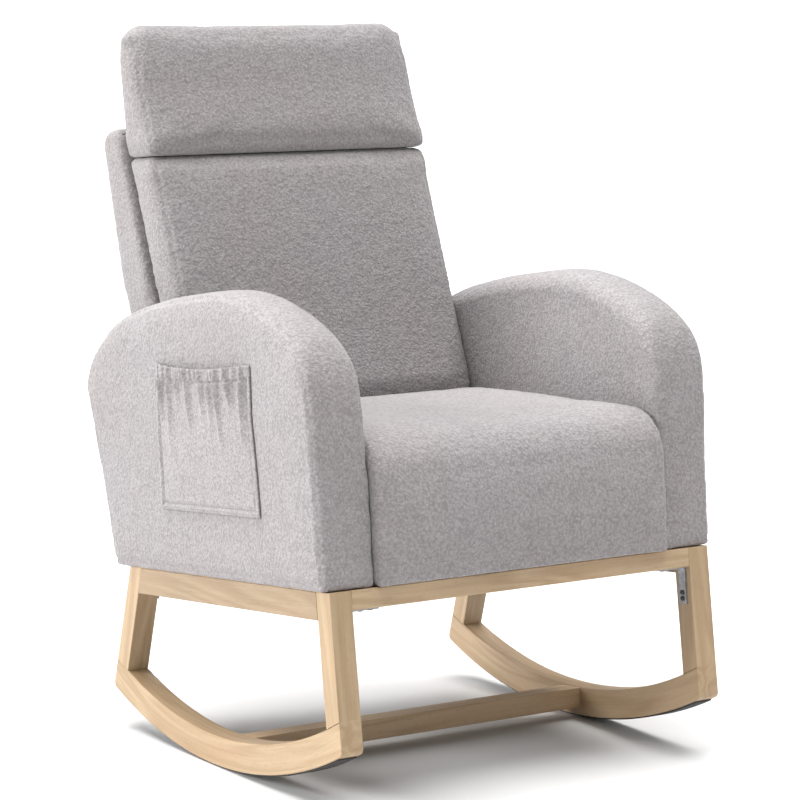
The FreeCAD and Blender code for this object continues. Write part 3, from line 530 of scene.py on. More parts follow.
def boucle(name, light, dark, curl, depth):
    """Looped yarn: round curls, curl mm across and depth mm high, with painted shade in the gaps
    between them.
    """
    made, web = material(name)
    spot = web.place()
    stir = web.noise(spot, 160, 2)
    swirl = web.node("ShaderNodeVectorMath", {0: stir.outputs["Color"], 1: (0.5, 0.5, 0.5)},
                     operation="SUBTRACT").outputs[0]
    swirl = web.node("ShaderNodeVectorMath", {0: swirl, "Scale": 0.006},
                     operation="SCALE").outputs[0]
    warped = web.node("ShaderNodeVectorMath", {0: spot, 1: swirl}, operation="ADD").outputs[0]
    big = web.cells(warped, 1000 / curl, "SMOOTH_F1")
    small = web.cells(warped, 2100 / curl, "F1")
    yarn = web.noise(warped, 3400 / curl, 3, 0.65)
    hill = web.spread(big, 0.05, 0.75, 1.0, 0.0)
    knot = web.spread(small, 0.1, 0.8, 1.0, 0.0)
    height = web.math("ADD", web.math("MULTIPLY", hill, 0.62), web.math("MULTIPLY", knot, 0.26))
    height = web.math("ADD", height, web.math("MULTIPLY", yarn.outputs[0], 0.24))
    clumps = web.noise(spot, 38, 3, 0.6)
    drift = web.noise(spot, 5.5, 2)
    # Painted shade: the low places between the curls are coloured darker, as if in their shade.
    shade = web.spread(height, 0.3, 0.95)
    shade = web.math("ADD", shade, web.spread(clumps.outputs[0], 0.3, 0.7, -0.08, 0.08), clamp=True)
    colour = web.mix(shade, dark, light)
    warm = web.spread(drift.outputs[0], 0.35, 0.65, 0.0, 0.35)
    colour = web.mix(warm, colour, web.mix(1.0, colour, rgb(255, 247, 243), "MULTIPLY"))
    speck = web.math("GREATER_THAN", web.noise(spot, 900, 1).outputs[0], 0.71)
    colour = web.mix(web.math("MULTIPLY", speck, 0.22), colour, rgb(120, 116, 113))
    lumps = web.bump(clumps.outputs[0], 0.0016, 0.5)
    normal = web.bump(height, depth * MM, 0.9, lumps)
    web.finish(colour, web.spread(height, 0, 1, 1.0, 0.86), normal,
               Sheen_Weight=0.22, Sheen_Roughness=0.55, Specular_IOR_Level=0.18)
    return made


def wood(name, tone_and_painted_shade, seed, turn=(0, 0, 0), arc=None):
    """Pale rubberwood. The grain runs along y of a frame turned by turn, or round an arc's centre.

    The tone value lightens or darkens the board: the board's own tone, and on some boards painted
    shade or painted light as well; seed shifts its pattern.
    """
    made, web = material(name)
    spot = web.place()
    if arc:
        part = web.node("ShaderNodeSeparateXYZ", {0: spot})
        y = web.math("SUBTRACT", part.outputs[1], arc[0])
        z = web.math("SUBTRACT", part.outputs[2], arc[1])
        run = web.math("MULTIPLY", web.math("ARCTAN2", y, web.math("MULTIPLY", z, -1.0)), arc[2])
        out = web.math("SQRT", web.math("ADD", web.math("MULTIPLY", y, y),
                                        web.math("MULTIPLY", z, z)))
        spot = web.node("ShaderNodeCombineXYZ", {0: part.outputs[0], 1: run, 2: out}).outputs[0]
    grain_frame = web.node("ShaderNodeMapping", {"Vector": spot, "Rotation": turn,
                                                 "Location": (seed, seed * 1.7, seed * 0.6)},
                           vector_type="TEXTURE").outputs[0]

    def streaks(along, side):
        return web.scaled(grain_frame, (side, along, side))

    board = web.noise(streaks(1.6, 17), 1.0, 2, 0.5, 0.6)
    rings = web.math("SINE", web.math("MULTIPLY", board.outputs[0], 52.0))
    rings = web.spread(rings, -1, 1)
    fibre = web.noise(streaks(9, 420), 1.0, 4, 0.62)
    wide = web.noise(streaks(2.2, 60), 1.0, 3, 0.55)
    pores = web.noise(streaks(85, 1500), 1.0, 1, 0.5)
    pore = web.spread(pores.outputs[0], 0.62, 0.74)
    grain = web.math("ADD", web.math("MULTIPLY", rings, 0.30),
                     web.math("MULTIPLY", fibre.outputs[0], 0.55))
    grain = web.math("ADD", grain, web.math("MULTIPLY", wide.outputs[0], 0.35))
    colour = web.mix(web.spread(grain, 0.28, 0.92),
                     rgb(186 * tone_and_painted_shade, 163 * tone_and_painted_shade, 131 * tone_and_painted_shade),
                     rgb(155 * tone_and_painted_shade, 128 * tone_and_painted_shade, 95 * tone_and_painted_shade))
    colour = web.mix(web.math("MULTIPLY", pore, 0.45), colour,
                     rgb(122 * tone_and_painted_shade, 90 * tone_and_painted_shade, 64 * tone_and_painted_shade))
    patch = web.noise(web.place(), 7, 2)
    colour = web.mix(web.spread(patch.outputs[0], 0.35, 0.65, 0.0, 0.22), colour,
                     rgb(194 * tone_and_painted_shade, 157 * tone_and_painted_shade, 122 * tone_and_painted_shade))
    height = web.math("SUBTRACT", web.math("MULTIPLY", fibre.outputs[0], 0.5), pore)
    normal = web.bump(height, 0.0004, 0.35)
    web.finish(colour, web.spread(fibre.outputs[0], 0.3, 0.7, 0.42, 0.55), normal,
               Coat_Weight=0.08, Coat_Roughness=0.35)
    return made


def brushed(name, colour, metallic, rough):
    """Metal with fine scratches and dull patches."""
    made, web = material(name)
    spot = web.place()
    scratch = web.noise(web.scaled(spot, (2500, 120, 300)), 1.0, 3, 0.6)
    patches = web.noise(spot, 90, 3, 0.6)
    tint = web.mix(web.spread(patches.outputs[0], 0.3, 0.7, 0.0, 0.5), colour,
                   web.mix(1.0, colour, rgb(190, 190, 196), "MULTIPLY"))
    tint = web.mix(web.spread(scratch.outputs[0], 0.5, 0.8, 0.0, 0.35), tint, rgb(225, 225, 225))
    web.finish(tint, web.spread(patches.outputs[0], 0.3, 0.7, rough, rough + 0.16),
               web.bump(scratch.outputs[0], 0.0002, 0.3), Metallic=metallic)
    return made


def rubber(name):
    made, web = material(name)
    spot = web.place()
    grit = web.noise(spot, 900, 3, 0.6)
    dust = web.noise(spot, 30, 4, 0.6)
    tint = web.mix(web.spread(dust.outputs[0], 0.45, 0.8, 0.0, 0.5), rgb(34, 33, 33),
                   rgb(74, 71, 68))
    web.finish(tint, web.spread(dust.outputs[0], 0.3, 0.7, 0.62, 0.85),
               web.bump(grit.outputs[0], 0.0006, 0.5))
    return made


def woven(name, light, dark, pitch):
    """Plain weave: threads over and under each other on a square grid, with uneven yarn."""
    made, web = material(name)
    spot = web.place()
    part = web.node("ShaderNodeSeparateXYZ", {0: spot})
    wobble = web.noise(spot, 60, 2)
    turn = 2 * math.pi / (pitch * MM)

    def thread(value):
        wave = web.math("SINE", web.math("ADD", web.math("MULTIPLY", value, turn),
                                         web.math("MULTIPLY", wobble.outputs[0], 2.5)))
        return web.spread(wave, -1, 1)

    up = web.math("ADD", part.outputs[1], part.outputs[2])
    weave = web.math("MAXIMUM", web.math("MULTIPLY", thread(part.outputs[0]), thread(up)),
                     web.math("MULTIPLY", web.math("SUBTRACT", 1.0, thread(part.outputs[0])),
                              web.math("SUBTRACT", 1.0, thread(up))))
    slub = web.noise(spot, 240, 3, 0.6)
    shade = web.math("ADD", web.math("MULTIPLY", weave, 0.7),
                     web.math("MULTIPLY", slub.outputs[0], 0.5), clamp=True)
    web.finish(web.mix(shade, dark, light), web.spread(slub.outputs[0], 0.3, 0.7, 0.8, 0.95),
               web.bump(weave, pitch * MM * 0.3, 0.7), Sheen_Weight=0.2)
    return made


def fibres(name, light, dark, scale=420):
    """Felt or spun cloth: short fibres lying every way."""
    made, web = material(name)
    spot = web.place()
    mat = web.noise(spot, scale, 5, 0.7, 1.2)
    blotch = web.noise(spot, 24, 3)
    shade = web.math("ADD", web.spread(mat.outputs[0], 0.3, 0.7),
                     web.spread(blotch.outputs[0], 0.3, 0.7, -0.2, 0.2), clamp=True)
    web.finish(web.mix(shade, dark, light), web.spread(mat.outputs[0], 0.3, 0.7, 0.85, 1.0),
               web.bump(mat.outputs[0], 0.0008, 0.6), Sheen_Weight=0.15)
    return made


def plies(name):
    """Plywood: a birch face, with its layers where the edges show."""
    made, web = material(name)
    spot = web.place()
    grain = web.noise(web.scaled(spot, (40, 4, 30)), 1.0, 5, 0.6, 0.8)
    part = web.node("ShaderNodeSeparateXYZ", {0: spot})
    layer = web.math("SINE", web.math("MULTIPLY", part.outputs[0], 2 * math.pi / (3 * MM)))
    tint = web.mix(web.spread(grain.outputs[0], 0.3, 0.7), rgb(214, 188, 148), rgb(186, 152, 108))
    tint = web.mix(web.spread(layer, 0.2, 1.0, 0.0, 0.25), tint, rgb(150, 112, 74))
    web.finish(tint, web.spread(grain.outputs[0], 0.3, 0.7, 0.55, 0.7),
               web.bump(grain.outputs[0], 0.0004, 0.3))
    return made


def dress(made, mat):
    """Gives a piece or a CAD node its material."""
    made.data.materials.clear()
    made.data.materials.append(mat)


# ------------------------------------------------------------------ soft pieces

def make_arm():
    """The left arm: a flat outer panel inside a padded band, and a hollow for the arm's frame.

    Also returns the arm's surface before the pile's relief, for the pocket to lie on.
    """
    shrink = 2.5
    count = 220
    crest = through(ARM_CREST, count)
    foot = np.array([(ARM_REAR_FOOT, 1 - shrink), (1, 1 - shrink)])
    outline = evenly(np.vstack([crest, foot, crest[:1]]), count + 1)[:-1]
    up = -inward(outline)[:, 1]
    outer = np.interp(outline[:, 1], *ARM_OUTER_AT)
    top = ease(up, 0.15, 0.95)
    floor = ease(-up, 0.5, 0.95)
    beside_seat = 1 - ease(outline[:, 1], 120, 260)
    soft_in = (14 + 16 * top - 12 * beside_seat) * (1 - floor) + floor
    soft_out = (4 + 22 * top) * (1 - floor) + floor
    made = loft("arm_cover_left",
                across(outline, ARM_INNER - shrink, outer, soft_in, soft_out, shrink))
    remesh(made, VOXEL)
    relax(made, 4)

    def free(x, s, h):
        above_seat = ease(h, 150, 230)
        inside = np.where(x < 262, above_seat, 1.0)
        return inside * ease(h, 2, 14)

    inflate(made, 7, free)
    inner_face = ARM_INNER - 1.2
    co = squared(places(made))
    co[:, 0] = np.maximum(co[:, 0], inner_face)
    settle(co)
    place(made, leaned(co))
    square_off(made, -1, inner_face)
    subdivide(made)
    rim = outline[outline[:, 1] > 3]
    rim = evenly(np.vstack([rim[np.argmin(rim[:, 1] + rim[:, 0]):], rim]), 900)
    edge_out = np.interp(rim[:, 1], *ARM_OUTER_AT)
    seam(made, leaned(np.column_stack([edge_out, rim])), 1.6, 2.8, 0.5)
    surface = BVHTree.FromObject(made, bpy.context.evaluated_depsgraph_get())
    boucle_relief(made, seed=1)
    inside = outline + inward(outline) * ARM_WALL
    inside[:, 1] = np.where(inside[:, 1] < ARM_WALL + 1, -FLOOR_CUT, inside[:, 1])
    room(made, inside, ARM_INNER + ARM_WALL - 1.6, ARM_ROOM_OUTER)
    return made, surface


def make_seat():
    """The seat: top and front in one crowned panel, over a skirt in front of the frame."""
    under = SEAT_UNDERSIDE
    outline = rounded([(-10, -1, 1), (-10, 198, 60), (150, 206, 300), (300, 216, 300),
                       (455, 220, 12), (426, under, 4), (18, under, 4), (18, -1, 1)], 240)
    wide = SEAT_HALF + 2
    made = loft("seat_cover", across(outline, -wide, wide, 3, 3, shrink=2))
    remesh(made, VOXEL)
    relax(made, 3)

    def free(x, s, h):
        hidden = ((h < under + 8) & (s > 8)) | (s > cushion_front(h) - 8)
        sides = np.where(np.abs(x) > SEAT_HALF - 4, 0.15, 1.0)
        front = 0.25 + 0.75 * ease(h, 10, 60)
        return np.where(hidden, 0.0, sides * front)

    inflate(made, 24, free)
    co = squared(places(made))
    co[:, 0] = np.clip(co[:, 0], -SEAT_HALF, SEAT_HALF)
    settle(co)
    place(made, leaned(co))
    for way in SIDES.values():
        square_off(made, way, way * SEAT_HALF)
    subdivide(made)
    boucle_relief(made, seed=2)
    return made


def cushion_front(h):
    """s of the back cushion's front plane at a height."""
    return 458 + (h - 221) * math.tan(math.radians(16.3))


def make_back_pads():
    """The back cushion and the headrest that carries on above it, with the sewn seam between."""
    low = PAD_FOOT
    shrink = 4
    high = SEAM_HEIGHT + shrink - 0.5
    lower = rounded([(cushion_front(low), low, 6), (cushion_front(high), high, 3),
                     (cushion_front(high) + PAD_DEPTH, high, 5),
                     (cushion_front(low) + PAD_DEPTH, low, 6)], 220)
    rim = 7 + 11 * ease(SEAM_HEIGHT - lower[:, 1], 4, 50)
    cushion = loft("back_cushion_cover", across(lower, -246, 246, rim, rim, shrink))
    base = SEAM_HEIGHT - shrink + 0.5
    upper = rounded([(cushion_front(base) - 9, base, 11), (cushion_front(700) - 6, 700, 200),
                     (615, 801, 30), (661, 801, 16),
                     (cushion_front(base) + PAD_DEPTH, base, 6)], 200)
    rim = 7 + 11 * ease(upper[:, 1] - SEAM_HEIGHT, 4, 50) + 18 * ease(upper[:, 1], 735, 790)
    headrest = loft("headrest_cover", across(upper, -248, 248, rim, rim, shrink))
    for made, cap, edge in ((cushion, 20, 221), (headrest, 18, 0)):
        remesh(made, VOXEL)
        relax(made, 3)

        def free(x, s, h):
            share = ease(h, edge - 20, edge + 30) if edge else np.ones(len(h))
            near_seam = ease(np.abs(h - SEAM_HEIGHT), 2, 26)
            behind = s > cushion_front(h) + 60
            return np.where(behind, 0.15, 1.0) * share * (0.2 + 0.8 * near_seam)

        inflate(made, cap, free)
        co = squared(places(made))
        if made is cushion:
            co[:, 2] = np.minimum(co[:, 2], SEAM_HEIGHT - SEAM_GAP)
            half = BACK_HALF + 6 * ease(co[:, 2], 380, 460)
            co[:, 0] = np.clip(co[:, 0], -half, half)
        else:
            co[:, 2] = np.maximum(co[:, 2], SEAM_HEIGHT + SEAM_GAP)
            half = PAD_HALF + 5 * ease(co[:, 2], SEAM_HEIGHT, 680)
            co[:, 0] = np.clip(co[:, 0], -half, half)
        place(made, leaned(co))
        subdivide(made)
    rise = np.linspace(240, SEAM_HEIGHT - 8, 400)
    for way in SIDES.values():
        corner = np.column_stack([np.full(400, way * 239.0), cushion_front(rise) - 6, rise])
        seam(cushion, leaned(corner), 1.4, 2.6, 0.4)
    rise = np.linspace(SEAM_HEIGHT + 8, 760, 240)
    for way in SIDES.values():
        corner = np.column_stack([way * (244 - 10 * ease(rise, 720, 760)),
                                  cushion_front(rise) - 12, rise])
        seam(headrest, leaned(corner), 1.4, 2.6, 0.4)
    boucle_relief(cushion, seed=3)
    boucle_relief(headrest, seed=4)
    return cushion, headrest


def outer_back(h):
    """s of the outer back's rear plane at a height."""
    return 602.4 + h * math.tan(math.radians(10))


def make_shell():
    """The outer back: one padded panel behind, sides and top, hollow for the back's frame."""
    top = 649
    middle = 391
    outline = rounded([(outer_back(0) + 2, -1, 1), (outer_back(top) + 3, top + 1, 24),
                       (outer_back(top) - 60, top, 20), (cushion_front(602) + 81, 602, 30),
                       (cushion_front(middle) + 81, middle, 60), (522, 134, 4), (522, -1, 1)], 240)
    wide = BACK_HALF + 3 + 4 * ease(outline[:, 1], 376, 430)
    made = loft("back_cover", across(outline, -wide, wide, 9, 9, shrink=2))
    remesh(made, SHELL_VOXEL)
    relax(made, 3)

    def free(x, s, h):
        front = ease(outer_back(h) - s, 20, 60)
        arms = np.where(np.abs(x) > BACK_HALF - 5, ease(h, 340, 380), 1.0)
        return (1 - 0.9 * front) * arms * ease(h, 2, 20)

    inflate(made, 8, free)
    co = squared(places(made))
    arms = co[:, 2] < 372
    co[arms, 0] = np.clip(co[arms, 0], -BACK_HALF, BACK_HALF)
    settle(co)
    place(made, leaned(co))
    subdivide(made)
    rise = np.linspace(14, top - 18, 500)
    for way in SIDES.values():
        corner = np.column_stack([np.full(500, way * (BACK_HALF - 3)), outer_back(rise) + 3, rise])
        seam(made, leaned(corner), 1.5, 2.8, 0.5)
    ledge = np.linspace(12 - BACK_HALF, BACK_HALF - 12, 400)
    crest = np.column_stack([ledge, np.full(400, outer_back(top) - 4), np.full(400, top - 5)])
    seam(made, leaned(crest), 1.5, 2.8, 0.5)
    boucle_relief(made, seed=5)
    crown = top - 9
    room_front = 527.5
    room_half = 237.4
    inside = np.array([(outer_back(0) - 6, -FLOOR_CUT), (outer_back(crown) - 6, crown),
                       (outer_back(crown) - 54, crown), (cushion_front(602) + 86, 602),
                       (cushion_front(middle) + 86, middle), (room_front, 134),
                       (room_front, -FLOOR_CUT)], float)
    room(made, inside, -room_half, room_half)
    return made


# ------------------------------------------------------------------ pockets

POCKET_WIDTH = 279
POCKET_MIDDLE = 143 + POCKET_WIDTH / 2
POCKET_LOW = 94
POCKET_TALL = 209
HEM = 19
CLOTH = 2.2
STITCH_PITCH = 6.2
STITCH_LENGTH = 3.6
THREAD_RADIUS = 0.62


def ridges(count, seed, spread=0.3):
    """Folds at uneven places from 0 to 1: the place, size, reach and slant of each."""
    draw = random.Random(seed)
    return [((k + 0.5 + draw.uniform(-spread, spread)) / count, draw.uniform(0.6, 1.0),
             draw.uniform(0.35, 0.72), draw.uniform(-0.05, 0.05)) for k in range(count)]


def pocket_place(u, v):
    """Where the pouch lies on the arm's side: s and h for shares u across and v up."""
    width = POCKET_WIDTH * (1 - 0.045 * v)
    dip = 7 * np.sin(math.pi * u) * ease(v, 0.6, 1)
    return POCKET_MIDDLE + (u - 0.5) * width, POCKET_LOW + POCKET_TALL * v - dip


def pocket_lift(u, v):
    """How far the pouch stands off the arm's side: seams flat, mouth open, folds from the hem."""
    edge = np.minimum(np.minimum(u, 1 - u) * POCKET_WIDTH, v * POCKET_TALL)
    belly = 9.0 * ease(edge, 3, 60) * (0.3 + 0.7 * v)
    fold = -3.6 * ease(v, 0.35, 1.0)
    for middle, size, reach, slant in ridges(9, 5):
        here = middle + slant * (1 - v)
        ridge = np.exp(-np.abs((u - here) / 0.023) ** 1.7)
        fold = fold + size * 13.0 * ridge * ease(v, 1 - reach, 0.94)
    fold = fold * ease(edge, 2, 16)
    above = v * POCKET_TALL - (POCKET_TALL - HEM)
    ruffle = 0.0
    for middle, size, _, slant in ridges(18, 8, 0.22):
        ruffle = ruffle + size * np.exp(-((u - middle) / 0.015) ** 2)
    hem = (5.2 * ruffle - 1.4) * ease(above, -3, 6) * ease(edge, 1, 8)
    casing = -2.2 * np.exp(-(above / 1.8) ** 2) * ease(edge, 1, 8)
    turned = 1.5 * np.exp(-((edge - 4) / 3.2) ** 2) - 1.7 * np.exp(-((edge - 9.5) / 1.8) ** 2)
    return CLOTH + 0.6 + belly + fold * (1 - 0.5 * ease(above, -4, 4)) + hem + casing + turned


def thin_sheet(name, outer, inner):
    """A closed thin sheet between two grids of points, each (rows, columns, 3)."""
    rows, columns = outer.shape[:2]
    verts = np.concatenate([outer.reshape(-1, 3), inner.reshape(-1, 3)])
    shift = rows * columns
    faces = []

    def at(i, j):
        return i * columns + j

    for i in range(rows - 1):
        for j in range(columns - 1):
            square = (at(i, j), at(i, j + 1), at(i + 1, j + 1), at(i + 1, j))
            faces.append(square)
            faces.append(tuple(shift + k for k in reversed(square)))
    for j in range(columns - 1):
        for i, way in ((0, -1), (rows - 1, 1)):
            a, b = at(i, j), at(i, j + 1)
            faces.append((a, b, b + shift, a + shift)[::-way])
    for i in range(rows - 1):
        for j, way in ((0, 1), (columns - 1, -1)):
            a, b = at(i, j), at(i + 1, j)
            faces.append((a, b, b + shift, a + shift)[::-way])
    return smooth(closed(name, verts, faces))


def leaned_grid(x, s, h):
    """leaned() for three grids of one shape."""
    return leaned(np.column_stack([x.ravel(), s.ravel(), h.ravel()])).reshape(*s.shape, 3)


def noise_over(a, b, size):
    """Smooth noise, size mm from lump to lump, over two grids of one shape."""
    values = [noise.noise(Vector((p / size, q / size, 3.7))) for p, q in zip(a.ravel(), b.ravel())]
    return np.array(values).reshape(a.shape)


def side_of_arm(surface, s, h):
    """x in mm of the left arm's outer side over the given places."""
    beyond = 420.0
    found = []
    for spot in leaned(np.column_stack([np.full(s.size, beyond), s.ravel(), h.ravel()])):
        hit = surface.ray_cast(Vector(spot), Vector((-1, 0, 0)))[0]
        found.append(hit[0] / MM)
    return np.array(found).reshape(s.shape)


def make_pocket(surface):
    """The left pouch with its gathered hem, its elastic band and the thread of its seams."""
    u, v = np.meshgrid(np.linspace(0, 1, 210), np.linspace(0, 1, 130))
    s, h = pocket_place(u, v)
    side = side_of_arm(surface, s, h)
    lift = pocket_lift(u, v)
    round_over = CLOTH * 0.35 * np.exp(-((1 - v) * POCKET_TALL / 1.4) ** 2)
    fuzz = noise_over(s, h, 7.0) + 0.6 * noise_over(s, h, 3.2)
    pouch = thin_sheet("side_pocket_left",
                       leaned_grid(side + (lift - round_over + 0.35 * fuzz), s, h),
                       leaned_grid(side + (lift - CLOTH + round_over), s, h))

    u, v = np.meshgrid(np.linspace(0.02, 0.98, 200), np.linspace(0, 1, 7))
    v = 1 - (3.5 + 8 * (1 - v)) / POCKET_TALL
    s, h = pocket_place(u, v)
    inner = side_of_arm(surface, s, h) + pocket_lift(u, v) - CLOTH
    band = thin_sheet("pocket_band_left", leaned_grid(inner - 0.2, s, h),
                      leaned_grid(inner - 1.3, s, h))

    inset = 9.0
    second_row = inset - 5.0

    def places_along(count, size):
        return [(inset + (k + 0.5) * STITCH_PITCH) / size for k in range(count)]

    spots = []
    for rise in places_along(int((POCKET_TALL - inset) / STITCH_PITCH), POCKET_TALL):
        for place_across in (inset / POCKET_WIDTH, 1 - inset / POCKET_WIDTH):
            spots.append((place_across, rise, 0.0, 1.0))
    count = int((POCKET_WIDTH - 2 * inset) / STITCH_PITCH)
    for row, extra in ((inset / POCKET_TALL, 1), (second_row / POCKET_TALL, 1),
                       (1 - HEM / POCKET_TALL, 0)):
        for place_across in places_along(count + extra, POCKET_WIDTH):
            spots.append((place_across, row, 1.0, 0.0))
    return pouch, band, stitches("pocket_thread_left", surface, spots)


def stitches(name, surface, spots):
    """Short raised stitches of thread, each (u, v, along u, along v) on the pouch."""
    verts, faces = [], []
    around = 6
    rings = ((-0.5, 0.25), (-0.38, 0.8), (-0.12, 1.0), (0.12, 1.0), (0.38, 0.8), (0.5, 0.25))
    table = np.array(spots)
    u, v = table[:, 0], table[:, 1]
    s, h = pocket_place(u, v)
    side = side_of_arm(surface, s, h)
    stand = pocket_lift(u, v)
    step = 0.002
    slope_u = (pocket_lift(u + step, v) - pocket_lift(u - step, v)) / (2 * step * POCKET_WIDTH)
    slope_v = (pocket_lift(u, v + step) - pocket_lift(u, v - step)) / (2 * step * POCKET_TALL)
    for k, (_, _, du, dv) in enumerate(spots):
        rise = slope_u[k] * du + slope_v[k] * dv
        ahead = np.array([rise, du, dv]) / math.sqrt(1 + rise * rise)
        middle = np.array([side[k] + stand[k] + 0.15, s[k], h[k]])
        flat = np.array([0.0, -dv, du])
        out = np.cross(flat, ahead)
        faces += ended_tube(len(verts), len(rings), around)
        for share, wide in rings:
            for turn in range(around):
                angle = 2 * math.pi * turn / around
                arm = THREAD_RADIUS * wide * (math.cos(angle) * flat + math.sin(angle) * out)
                verts.append(middle + ahead * share * STITCH_LENGTH + arm)
    return smooth(closed(name, leaned(verts), faces))


# ------------------------------------------------------------------ under and inside the seat

STAPLE_PITCH = 42
SPRING_PITCH = 92
COVER_HALF = 241
COVER_FRONT = 19
COVER_REAR = 499
COVER_TOP = 0.93
FELT_TOP = 120.4


def make_dust_cover():
    """The spun cloth under the seat frame: tight where it is stapled, sagging in the middle."""
    x, s = np.meshgrid(np.linspace(-COVER_HALF, COVER_HALF, 150),
                       np.linspace(COVER_FRONT, COVER_REAR, 150))
    from_side = COVER_HALF - np.abs(x)
    from_rear = COVER_REAR - s
    inside = ease(from_side, 16, 120) * ease(s, 50, 160) * ease(from_rear, 16, 130)
    ripple = noise_over(x, s, 70.0)
    edge = np.minimum(from_side, np.minimum((s - 34) * 0.8, from_rear))
    around = np.where(from_side < np.minimum(s - COVER_FRONT, from_rear), s, x)
    pucker = (1 - np.cos(2 * math.pi * around / STAPLE_PITCH)) * ease(edge, 12, 30)
    drop = 9 * inside + 2.2 * inside * (1 + ripple) + 0.7 * pucker * (1 - ease(edge, 60, 140))
    h = COVER_TOP - drop
    return thin_sheet("seat_dust_cover", leaned_grid(x, s, h), leaned_grid(x, s, h - 0.7))


def make_felt():
    """The felt pad laid over the springs, dipping a little between them, with uneven edges."""
    u, v = np.meshgrid(np.linspace(-1, 1, 170), np.linspace(-1, 1, 150))
    fray = noise_over(u * 40, v * 40, 5.0)
    x = u * (213 + 1.2 * fray * np.abs(u) ** 30)
    s = 248 + v * (197 + 1.2 * fray * np.abs(v) ** 30)
    between = 0.5 - 0.5 * np.cos(2 * math.pi * x / SPRING_PITCH)
    dip = 1.9 * between * ease(207 - np.abs(x), 0, 25)
    h = FELT_TOP - dip - 0.15 * fray
    return thin_sheet("seat_felt", leaned_grid(x, s, h), leaned_grid(x, s, h - 2.6))


def make_staples():
    """Wire staples along the dust cover's edges, each a flat bar with its two ends bent in."""
    front_row, rear_row, side_row = 44, 489, 231
    spots = []
    for x in np.arange(-210, 211, STAPLE_PITCH):
        spots += [(x, front_row, 1, 0), (x, rear_row, 1, 0)]
    for s in np.arange(80, 461, STAPLE_PITCH):
        spots += [(-side_row, s, 0, 1), (side_row, s, 0, 1)]
    verts, faces = [], []
    profile = [(-5, 0.6), (-5, -0.1), (-4.6, -0.45), (4.6, -0.45), (5, -0.1), (5, 0.6)]
    for x, s, dx, ds in spots:
        faces += ended_tube(len(verts), len(profile), 4)
        for along, h in profile:
            for wide, deep in ((-0.6, 0), (0.6, 0), (0.6, 0.5), (-0.6, 0.5)):
                inner = along * (1 - 0.1 * (deep > 0))
                verts.append((x + dx * inner + ds * wide, s + ds * inner + dx * wide,
                              h + deep * 0.7))
    return closed("cover_staples", leaned(verts), faces)


# ------------------------------------------------------------------ build

scene = bpy.context.scene
nodes = frame["nodes"]

cloth_grey = boucle("boucle_grey", rgb(163, 159, 160), rgb(130, 126, 127), 3.7, 1.6)

arm_left, arm_surface = make_arm()
arm_right = mirrored(arm_left, "arm_cover_right")
seat = make_seat()
cushion, headrest = make_back_pads()
shell = make_shell()

for made, node, fill in ((arm_left, "arm_pad_left", 0.8), (arm_right, "arm_pad_right", 0.8),
                         (seat, "seat_cushion", 0.8), (cushion, "back_cushion", 0.75),
                         (headrest, "headrest", 0.8), (shell, "back_shell", 0.8)):
    smooth(made)
    dress(made, cloth_grey)
    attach(made, "root")
    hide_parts(node)

pocket_cloth = boucle("boucle_pocket", rgb(169, 165, 166), rgb(131, 127, 128), 3.2, 1.2)
band_cloth = woven("elastic", rgb(206, 203, 200), rgb(150, 147, 145), 1.2)
thread_look = woven("thread", rgb(158, 154, 153), rgb(118, 114, 113), 0.8)
pocket_parts = make_pocket(arm_surface)
for part, mat, node, slot in zip(pocket_parts, (pocket_cloth, band_cloth, thread_look),
                                 ("pocket", "pocket_elastic", None),
                                 ("pocket_cloth", "elastic", "pocket_cloth")):
    for side in SIDES:
        made = part if side == "left" else mirrored(part, part.name.replace("left", "right"))
        dress(made, mat)
        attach(made, "root")
        if node:
            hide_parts(f"{node}_{side}")

# The wooden base: each part with its own boards, its grain along its length.
ROCKER_ARC = (-0.04976, 0.779, 0.757)  # y and z of the centre, and the middle radius, in metres
ALONG_X = (0, 0, math.radians(90))


def leg_turn(lean):
    """The grain's turn for a leg that leans back by lean degrees from square to its rail."""
    return math.radians(90 + lean) - LEAN, 0, 0


side_parts = {
    "front_leg": dict(tone_and_painted_shade=0.96, turn=leg_turn(-2.6)),
    "rear_leg": dict(tone_and_painted_shade=0.96, turn=leg_turn(21.7)),
    # The side rails' low tone is painted shade: the shade that the arms' overhang casts on them.
    "side_rail": dict(tone_and_painted_shade=0.85, turn=(-LEAN, 0, 0)),
    "rocker": dict(tone_and_painted_shade=0.96, arc=ROCKER_ARC),
}
for side, way in SIDES.items():
    for index, (part, facts) in enumerate(side_parts.items()):
        mat = wood(f"wood_{part}_{side}", seed=0.31 * (index + 1) + 0.17 * way, **facts)
        dress(nodes[f"{part}_{side}"], mat)
# The stretcher's high tone is painted light: it is made lighter against the shade that falls on it
# under the seat.
for index, (part, tone_and_painted_shade) in enumerate({"front_rail": 0.98, "rear_rail": 0.96,
                                      "stretcher": 1.06}.items()):
    dress(nodes[part], wood(f"wood_{part}", tone_and_painted_shade, 2.3 + index, ALONG_X))

zinc = brushed("zinc_steel", rgb(156, 157, 160), 0.9, 0.4)
black = brushed("black_steel", rgb(46, 46, 50), 0.7, 0.42)
pine = wood("frame_pine", 0.97, 5.1, (math.radians(80), 0, 0))
pine_across = wood("frame_pine_across", 0.97, 6.3, ALONG_X)
birch = plies("plywood")
strips = rubber("grip_rubber")
felt = fibres("felt", rgb(120, 118, 116), rgb(70, 70, 72))
cover = fibres("cover_cloth", rgb(52, 52, 54), rgb(28, 28, 30), 900)
webbing = woven("webbing", rgb(198, 186, 160), rgb(120, 108, 86), 2.4)

dust_cover = make_dust_cover()
dress(dust_cover, cover)
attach(dust_cover, "root")
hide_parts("dust_cover")
felt_pad = make_felt()
dress(felt_pad, felt)
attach(felt_pad, "root")
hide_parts("seat_insulator")
staples = make_staples()
dress(staples, zinc)
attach(staples, "root")

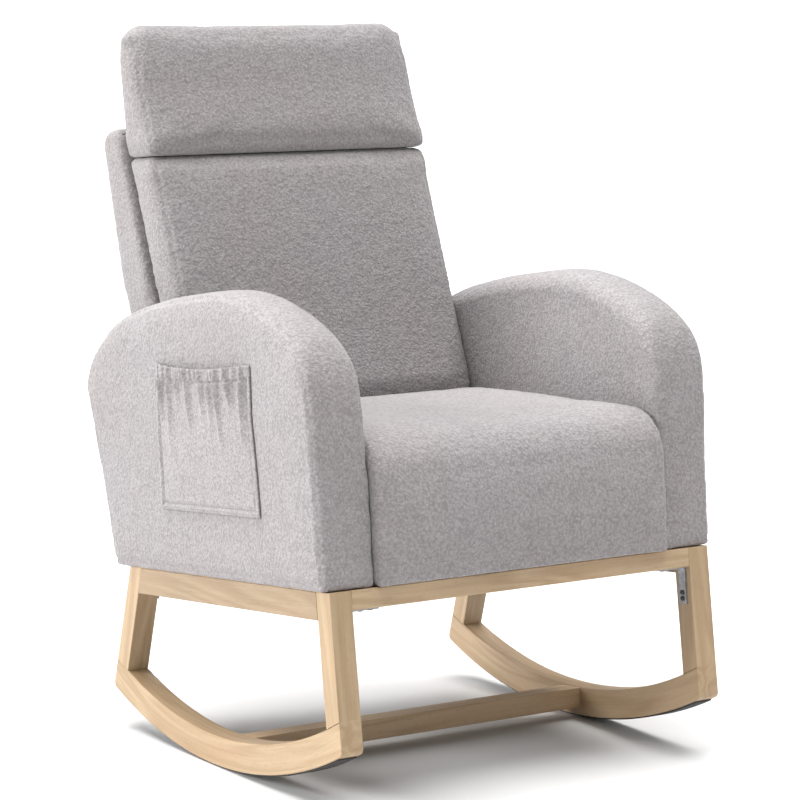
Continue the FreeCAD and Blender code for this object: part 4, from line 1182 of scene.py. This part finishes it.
# The rest keeps its CAD shape: single nodes, then pairs.
looks = {
    zinc: ("corner_braces base_washers frame_nuts threaded_inserts seat_springs spring_clips", ""),
    black: ("brace_screws base_bolts arm_bolts back_bolts", ""),
    pine: ("corner_blocks frame_dowels",
           "seat_frame_side arm_sill arm_front_post arm_rear_post arm_top_board back_post"),
    pine_across: ("seat_frame_front seat_frame_rear back_lower_rail back_middle_rail "
                  "back_top_rail", ""),
    birch: ("", "arm_panel"),
    strips: ("", "rocker_grip"),
    webbing: ("back_webbing", ""),
}
for mat, (singles, pairs) in looks.items():
    for name in singles.split() + [f"{pair}_{side}" for pair in pairs.split() for side in SIDES]:
        dress(nodes[name], mat)

# ------------------------------------------------------------------ stage

floor = new_object("studio_floor", [(-500, -500, 0), (500, -500, 0), (500, 500, 0), (-500, 500, 0)],
                   [(0, 1, 2, 3)])
floor_mat, web = material("studio_floor")
web.finish(rgb(212, 212, 212), 0.9)
floor.data.materials.append(floor_mat)

world = bpy.data.worlds.new("studio")
world.use_nodes = True
sky = world.node_tree.nodes["Background"]
sky.inputs["Color"].default_value = (1, 1, 1, 1)
sky.inputs["Strength"].default_value = 0.34
scene.world = world


def soft_sun(name, towards, strength, angle):
    """Even studio light from one side; a wide angle makes its shadows soft."""
    light = bpy.data.lights.new(name, "SUN")
    light.energy = strength
    light.angle = math.radians(angle)
    made = bpy.data.objects.new(name, light)
    scene.collection.objects.link(made)
    made.rotation_euler = Vector(towards).to_track_quat("Z", "Y").to_euler()


soft_sun("key", (-0.86, 0.36, 0.33), 3.4, 32)
soft_sun("overhead", (0.0, 0.08, 1), 6.2, 60)

camera = bpy.data.objects.new("camera", bpy.data.cameras.new("camera"))
scene.collection.objects.link(camera)
camera.location = (-2.428, -3.798, 1.114)
camera.rotation_euler = (math.radians(90 - 7.54), 0, math.radians(-33.2))
camera.data.lens = 139.1
camera.data.sensor_width = 36
camera.data.shift_x = -0.016
camera.data.shift_y = -0.020
scene.camera = camera
scene.view_settings.view_transform = "Standard"
